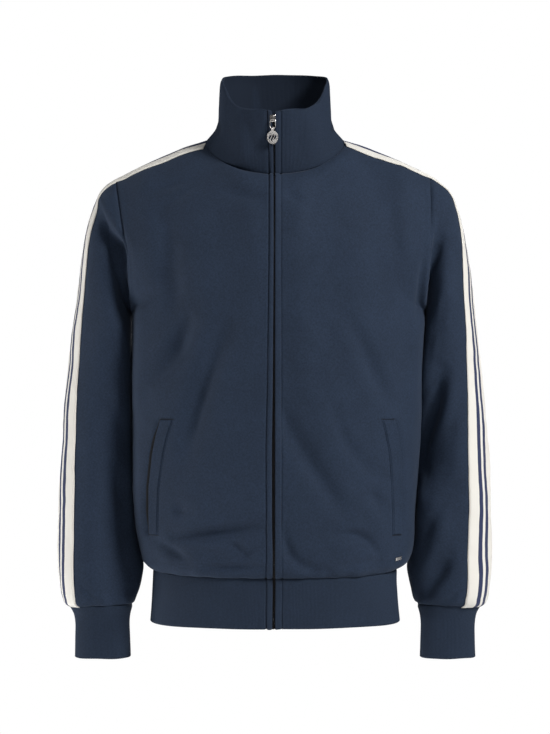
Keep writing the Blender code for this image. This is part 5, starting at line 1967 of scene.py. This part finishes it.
@dataclass(frozen=True)
class Zip:
    """The zip: its two tapes behind the front edges and its closed row of teeth between them."""

    edges: FrontEdges
    wardrobe: Wardrobe
    tape_lines: tuple[float, ...] = (0.0, 1.0 * MM, 4.5 * MM, 8.0 * MM, 11.5 * MM)
    # What stays between the two tapes behind the teeth.
    slit: float = 0.1 * MM
    behind: float = 3.4 * MM
    tape_wall: float = 0.6 * MM
    tape_pitch: float = 4.0 * MM
    most_rows: int = 180
    tooth: tuple[float, float, float] = (3.4 * MM, 0.95 * MM, 1.7 * MM)
    tooth_pitch: float = 1.15 * MM
    tooth_offset: float = 0.55 * MM
    tooth_bevel: float = 0.18 * MM
    teeth_top: float = 0.0225

    def build(self) -> None:
        """Sews in both tapes and sets the teeth."""
        for side in Side:
            columns = []
            for distance in self.tape_lines:
                points, normals, _ = resampled(*self.edges.line(side, distance), self.tape_pitch)
                if distance == 0.0:
                    gap = np.interp(points[:, 2], *np.array(self.edges.gaps).T) - self.slit / 2
                    points = points - np.stack((side.value * gap, 0 * gap, 0 * gap), axis=1)
                columns.append((points[:self.most_rows], normals[:self.most_rows]))
            rows = min(len(points) for points, _ in columns)
            points, normals = (np.stack([pair[part][:rows] for pair in columns], axis=1) for part in (0, 1))
            cloth = Cloth(points - normals * self.behind, normals, np.arange(rows), np.arange(len(columns)))
            node = f"zip_tape_{side.word}"
            Piece(
                f"{node}_woven", "zip_cloth", self.wardrobe.zip_cloth, (node,),
                flat=(0.0105, 0.715), held="laid", rests_on=(f"front_{side.word}_shell",),
            ).sew(cloth, self.tape_wall)
        self.set_teeth()

    def set_teeth(self) -> None:
        """Sets the teeth in two rows that mesh, up to the slider."""
        (left, facing_left), (right, facing_right) = (self.edges.line(side, 0.0) for side in Side)
        left, facing_left, _ = resampled(left, facing_left, 2 * MM)
        right = resampled(right, facing_right, 2 * MM)[0]
        count = min(len(left), len(right))
        middle, facing = (left[:count] + right[:count]) / 2, facing_left[:count] * (0, 1, 1)
        below = middle[:, 2] < self.teeth_top
        matrices = []
        for number, placed in enumerate(zip(*resampled(middle[below], facing[below], self.tooth_pitch))):
            point, normal, heading = placed
            shift = np.cross(heading, normal) * self.tooth_offset * (1 if number % 2 else -1)
            matrices.append(standing(point + shift - normal * self.behind, normal, heading, (1.0, 1.0, 1.0)))
        shape = bmesh.new()
        bmesh.ops.create_cube(shape, size=1.0, matrix=Matrix.Diagonal((*self.tooth, 1.0)))
        bmesh.ops.bevel(
            shape, geom=shape.edges, offset=self.tooth_bevel, segments=1, profile=0.5, affect="EDGES",
            material=-1,
        )
        teeth = Piece("zip_teeth", "zip_teeth", self.wardrobe.teeth, ("zip_chain",))
        teeth.put(stamped("zip_teeth", shape, matrices))


@dataclass(frozen=True)
class PocketLines:
    """Where the pockets open: outer edges of their welts by height, as X seen from in front."""

    # Height, then the right and the left pocket's outer edge.
    outer: Table = metres(
        (-387, 155.6, 162.6), (-410, 162.2, 167.6), (-435, 167.2, 171.6), (-480, 172.2, 173.4),
        (-515, 172.8, 173.8), (-546.5, 172.2, 173),
    )
    # The welts' widths at the bottom and at the top, on the left and on the right.
    widths: tuple[tuple[float, float], tuple[float, float]] = ((0.0125, 0.0175), (0.0125, 0.0175))

    def edge(self, side: Side, z: Grid) -> Grid:
        """X of the opening's outer edge at heights, as a positive distance."""
        return table_value(self.outer, side.pick((2, 1)), z)

    def ends(self) -> tuple[float, float]:
        """Heights of the bottom and the top of a welt."""
        return self.outer[-1][0], self.outer[0][0]

    def sunk(self, side: Side, grid: Grid) -> Grid:
        """Sinks the front beside the opening.

        Args:
            side: the wearer's side.
            grid: the front's points.

        Returns:
            How deep each lies.
        """
        bottom, top = self.ends()
        z = grid[..., 2]
        outside = side.value * grid[..., 0] - self.edge(side, z)
        within = rising(z, bottom - 4 * MM, bottom + 8 * MM) * (1 - rising(z, top - 8 * MM, top + 4 * MM))
        mouth = side.pick((-2.2 * MM, -2.6 * MM)) * bell(outside - 1.5 * MM, 3.6 * MM)
        sag = side.pick((0.0, -6.0 * MM)) * bell(z + 0.53, 0.045) * bell(outside - 5 * MM, 6.5 * MM)
        return within * (mouth + sag)


@dataclass(frozen=True)
class Pockets:
    """The curved welts on both fronts, folded at the opening and topstitched on their inner edge."""

    lines: PocketLines
    wardrobe: Wardrobe
    step: float = 2.2 * MM
    wall: float = 1.0 * MM
    # Places across a welt, with heights, in millimetres: first from its inner edge, then from its outer edge.
    profile: Table = (
        (0, -0.5), (0.35, 0.5), (0.8, 0.9), (1.2, -0.5), (1.7, -0.6), (2.2, 0.9), (3.2, 1.2), (4.6, 1.1),
        (6.2, 1.25), (-5, 1.6), (-3.4, 2), (-2, 2.4), (-1.1, 2.5), (-0.5, 2.2), (-0.15, 1.3), (0, 0.2),
        (0.5, 0), (1, -0.7),
    )
    from_outer: int = 9
    # How far the pocket's mouth, a strip past the welt painted dark as the shadow in its opening, shows
    # beyond the welt, on the left and on the right.
    mouth: tuple[float, float] = (0.6, 5.2)
    thread_at: float = 1.45 * MM
    waves: Waves = Waves(0.035, 0.22 * MM, 101)

    def strip(self, side: Side, front: Cloth) -> tuple[Grid, Grid, Grid]:
        """The ground under a welt.

        Args:
            side: the wearer's side.
            front: the front panel on that side.

        Returns:
            Points and normals on the front, and the heights of the welt's face over them.
        """
        bottom, top = self.lines.ends()
        levels = np.linspace(bottom, top, round((top - bottom) / self.step) + 1)
        widths = np.interp(levels, (bottom, top), side.pick(self.lines.widths))
        outer = self.lines.edge(side, levels)
        from_end = np.minimum(levels - bottom, top - levels)
        opened = side.pick(self.mouth) * (0.4 + 0.6 * rising(from_end, 0, 35 * MM))
        points, normals = (np.empty((len(levels), len(self.profile), 3)) for _ in range(2))
        for row, (z, width, edge) in enumerate(zip(levels, widths, outer)):
            for column, (place, _) in enumerate(self.profile):
                if place > 0 and column > self.from_outer:
                    place *= opened[row]
                across = place * MM if column < self.from_outer else width + place * MM
                x = side.value * (edge - width + across)
                points[row, column], normals[row, column] = seen_on(front, x, z)
        ends = rising(from_end, 0, 1.6 * MM)[:, None]
        heights = np.array([height for _, height in self.profile])[None, :] * MM
        soft = self.waves.lift(points[..., 0], points[..., 2], side)
        return points, normals, (heights + soft) * ends - 0.4 * MM * (1 - ends)

    def build(self, fronts: dict[Side, Cloth]) -> None:
        """Sews both welts on the fronts.

        Args:
            fronts: the front panels as they lie.
        """
        thread = Thread(self.wardrobe.thread, "navy_knit", 2.6 * MM, 2.0 * MM, 0.42 * MM)
        tack = Thread(self.wardrobe.zip_cloth, "navy_knit", 2.0 * MM, 2.3 * MM, 0.9 * MM)
        for side in Side:
            points, normals, heights = self.strip(side, fronts[side])
            grid = points + normals * heights[..., None]
            cloth = Cloth(grid, normals, np.arange(len(grid)), np.arange(len(self.profile)))
            across, along = travel(grid)
            # Distances across from the welt's outer edge, past which its finish paints the mouth strip dark
            # as shadow.
            name, place = f"pocket_welt_{side.word}_folded", (along, across - across[:, -3:-2])
            Piece(
                name, "navy_knit", self.wardrobe.welt, (f"pocket_welt_{side.word}",),
                flat=(0.022, 0.163), held="laid", rests_on=(f"front_{side.word}_shell",),
            ).put(grid_mesh(name, grid, place, normals, (False, False)), self.wall)
            bars = [(grid[end, 1:-3], normals[end, 1:-3]) for end in (0, -1)]
            thread.rows(f"pocket_stitches_{side.word}", [cloth.line_at(self.thread_at + 0.8 * MM)], -0.1 * MM)
            tack.rows(f"pocket_tacks_{side.word}", bars, 0.9 * MM)


def seen_on(cloth: Cloth, x: float, z: float) -> tuple[Grid, Grid]:
    """The point of a front panel that lies at X and Z.

    Args:
        cloth: a front panel.
        x: where to look.
        z: at which height.

    Returns:
        The point there, and its normal.
    """
    grid, normals = cloth.grid, cloth.normals
    away = (grid[..., 0] - x) ** 2 + (grid[..., 2] - z) ** 2
    row, column = np.unravel_index(int(np.argmin(away)), away.shape)
    row, column = int(np.clip(row, 1, len(grid) - 2)), int(np.clip(column, 1, grid.shape[1] - 2))
    across = (grid[row, column + 1] - grid[row, column - 1]) / 2
    up = (grid[row + 1, column] - grid[row - 1, column]) / 2
    steps = np.array(((across[0], up[0]), (across[2], up[2])))
    left = np.array((x - grid[row, column, 0], z - grid[row, column, 2]))
    over, rise = np.linalg.solve(steps, left)
    turn_across = normals[row, column + 1] - normals[row, column - 1]
    turn_up = normals[row + 1, column] - normals[row - 1, column]
    normal = normals[row, column] + (over * turn_across + rise * turn_up) / 2
    return grid[row, column] + over * across + rise * up, normal / np.linalg.norm(normal)


@dataclass(frozen=True)
class Trim:
    """The hard metal pieces, which keep their solids, and the stitching beside the zip and on the tapes."""

    wardrobe: Wardrobe
    metal_nodes: tuple[str, ...] = ("zip_slider", "pull_link", "pull_tab", "side_plate")
    tape_inset: float = 1.5 * MM

    def build(self, edges: FrontEdges, tapes: dict[Side, Cloth]) -> None:
        """Plates the metal pieces and sews the stitch lines.

        Args:
            edges: the cloth beside the zip.
            tapes: the tapes' outer faces.
        """
        for name in self.metal_nodes:
            for slot in bpy.data.objects[name].material_slots:
                slot.material = self.wardrobe.metal
        navy = Thread(self.wardrobe.thread, "navy_knit")
        cream = Thread(self.wardrobe.cream_thread, "striped_tape", 2.8 * MM, 2.2 * MM, 0.4 * MM)
        for side in Side:
            navy.rows(f"zip_stitches_{side.word}", [edges.line(side)], -0.9 * MM)
            tape = tapes[side]
            lines = [tape.line_at(self.tape_inset, from_last) for from_last in (False, True)]
            cream.rows(f"tape_stitches_{side.word}", lines, 0.05 * MM)


@dataclass(frozen=True)
class Studio:
    """A white studio: pale floor, even surround, a soft key from the viewer's right and a weak fill."""

    distance: float = 3.0
    middle_z: float = -0.316
    lens: float = 105.1
    floor_z: float = -1.45
    floor_radius: float = 3.4
    surround: float = 0.045
    # Name, place, width and watts of each light.
    lights: tuple[tuple[str, tuple[float, float, float], float, float], ...] = (
        ("key_light", (2.45, -2.1, 1.7), 1.1, 148.0), ("fill_light", (-2.0, -0.2, -0.76), 1.1, 29.0),
        ("front_light", (0.5, -3.4, 1.0), 1.2, 10.0), ("top_light", (-0.9, -0.5, 2.4), 1.4, 13.0),
        ("back_light", (0.5, 3.4, 0.6), 2.0, 95.0),
    )

    def light(self, name: str, place: tuple[float, float, float], size: float, power: float) -> None:
        """Adds a soft area light that looks at the jacket's middle.

        Args:
            name: its name.
            place: where it stands.
            size: how wide it is.
            power: its watts.
        """
        lamp = bpy.data.lights.new(name, "AREA")
        lamp.shape, lamp.size, lamp.energy = "DISK", size, power
        made = bpy.data.objects.new(name, lamp)
        made.location = place
        aim = Vector((0.0, 0.0, self.middle_z)) - Vector(place)
        made.rotation_euler = aim.to_track_quat("-Z", "Y").to_euler()
        bpy.context.scene.collection.objects.link(made)

    def floor(self) -> None:
        """Adds the pale floor."""
        shape = bmesh.new()
        bmesh.ops.create_circle(shape, cap_ends=True, segments=96, radius=self.floor_radius)
        bmesh.ops.translate(shape, verts=shape.verts, vec=(0.0, 0.0, self.floor_z))
        mesh = bpy.data.meshes.new("studio_floor")
        shape.to_mesh(mesh)
        shape.free()
        mesh.materials.append(PaperFinish().make())
        made = bpy.data.objects.new("studio_floor", mesh)
        bpy.context.scene.collection.objects.link(made)

    def build(self) -> None:
        """Sets the floor, the surround, the lights and the camera."""
        scene = bpy.context.scene
        self.floor()
        world = bpy.data.worlds.new("studio_surround")
        world.use_nodes = True
        tree = world.node_tree
        sky, seen = tree.nodes["Background"], tree.nodes.new("ShaderNodeLightPath")
        strength = tree.nodes.new("ShaderNodeMapRange")
        strength.inputs["To Min"].default_value = self.surround
        sky.inputs["Color"].default_value = (1.0, 1.0, 1.0, 1.0)
        tree.links.new(seen.outputs["Is Camera Ray"], strength.inputs["Value"])
        tree.links.new(strength.outputs["Result"], sky.inputs["Strength"])
        scene.world = world
        for light in self.lights:
            self.light(*light)
        lens = bpy.data.cameras.new("front_camera")
        lens.lens = self.lens
        camera = bpy.data.objects.new("front_camera", lens)
        camera.location = (0.0, -self.distance, self.middle_z)
        camera.rotation_euler = (math.pi / 2, 0.0, 0.0)
        scene.collection.objects.link(camera)
        scene.camera = camera
        scene.view_settings.view_transform = "Standard"
        log.info("studio set")


def main() -> None:
    """Sews the jacket piece by piece, then sets the studio."""
    logging.basicConfig(level=logging.INFO, format="%(name)s %(message)s")
    cut, wardrobe, pockets = Cut(), Wardrobe(), PocketLines()
    fronts, back = Torso(cut, wardrobe, pockets).build()
    sleeves = Sleeves(cut, wardrobe).build(fronts, back)
    tapes = Tapes(cut, wardrobe).build(fronts, back, sleeves)
    Cuffs(wardrobe).build()
    ribs = OpenRibs(cut, wardrobe)
    edges = FrontEdges(ribs.build_band(), fronts, ribs.build_collar(), cut.zip_gap)
    Zip(edges, wardrobe).build()
    Pockets(pockets, wardrobe).build(fronts)
    Trim(wardrobe).build(edges, tapes)
    Studio().build()


if __name__ == "__main__":
    main()
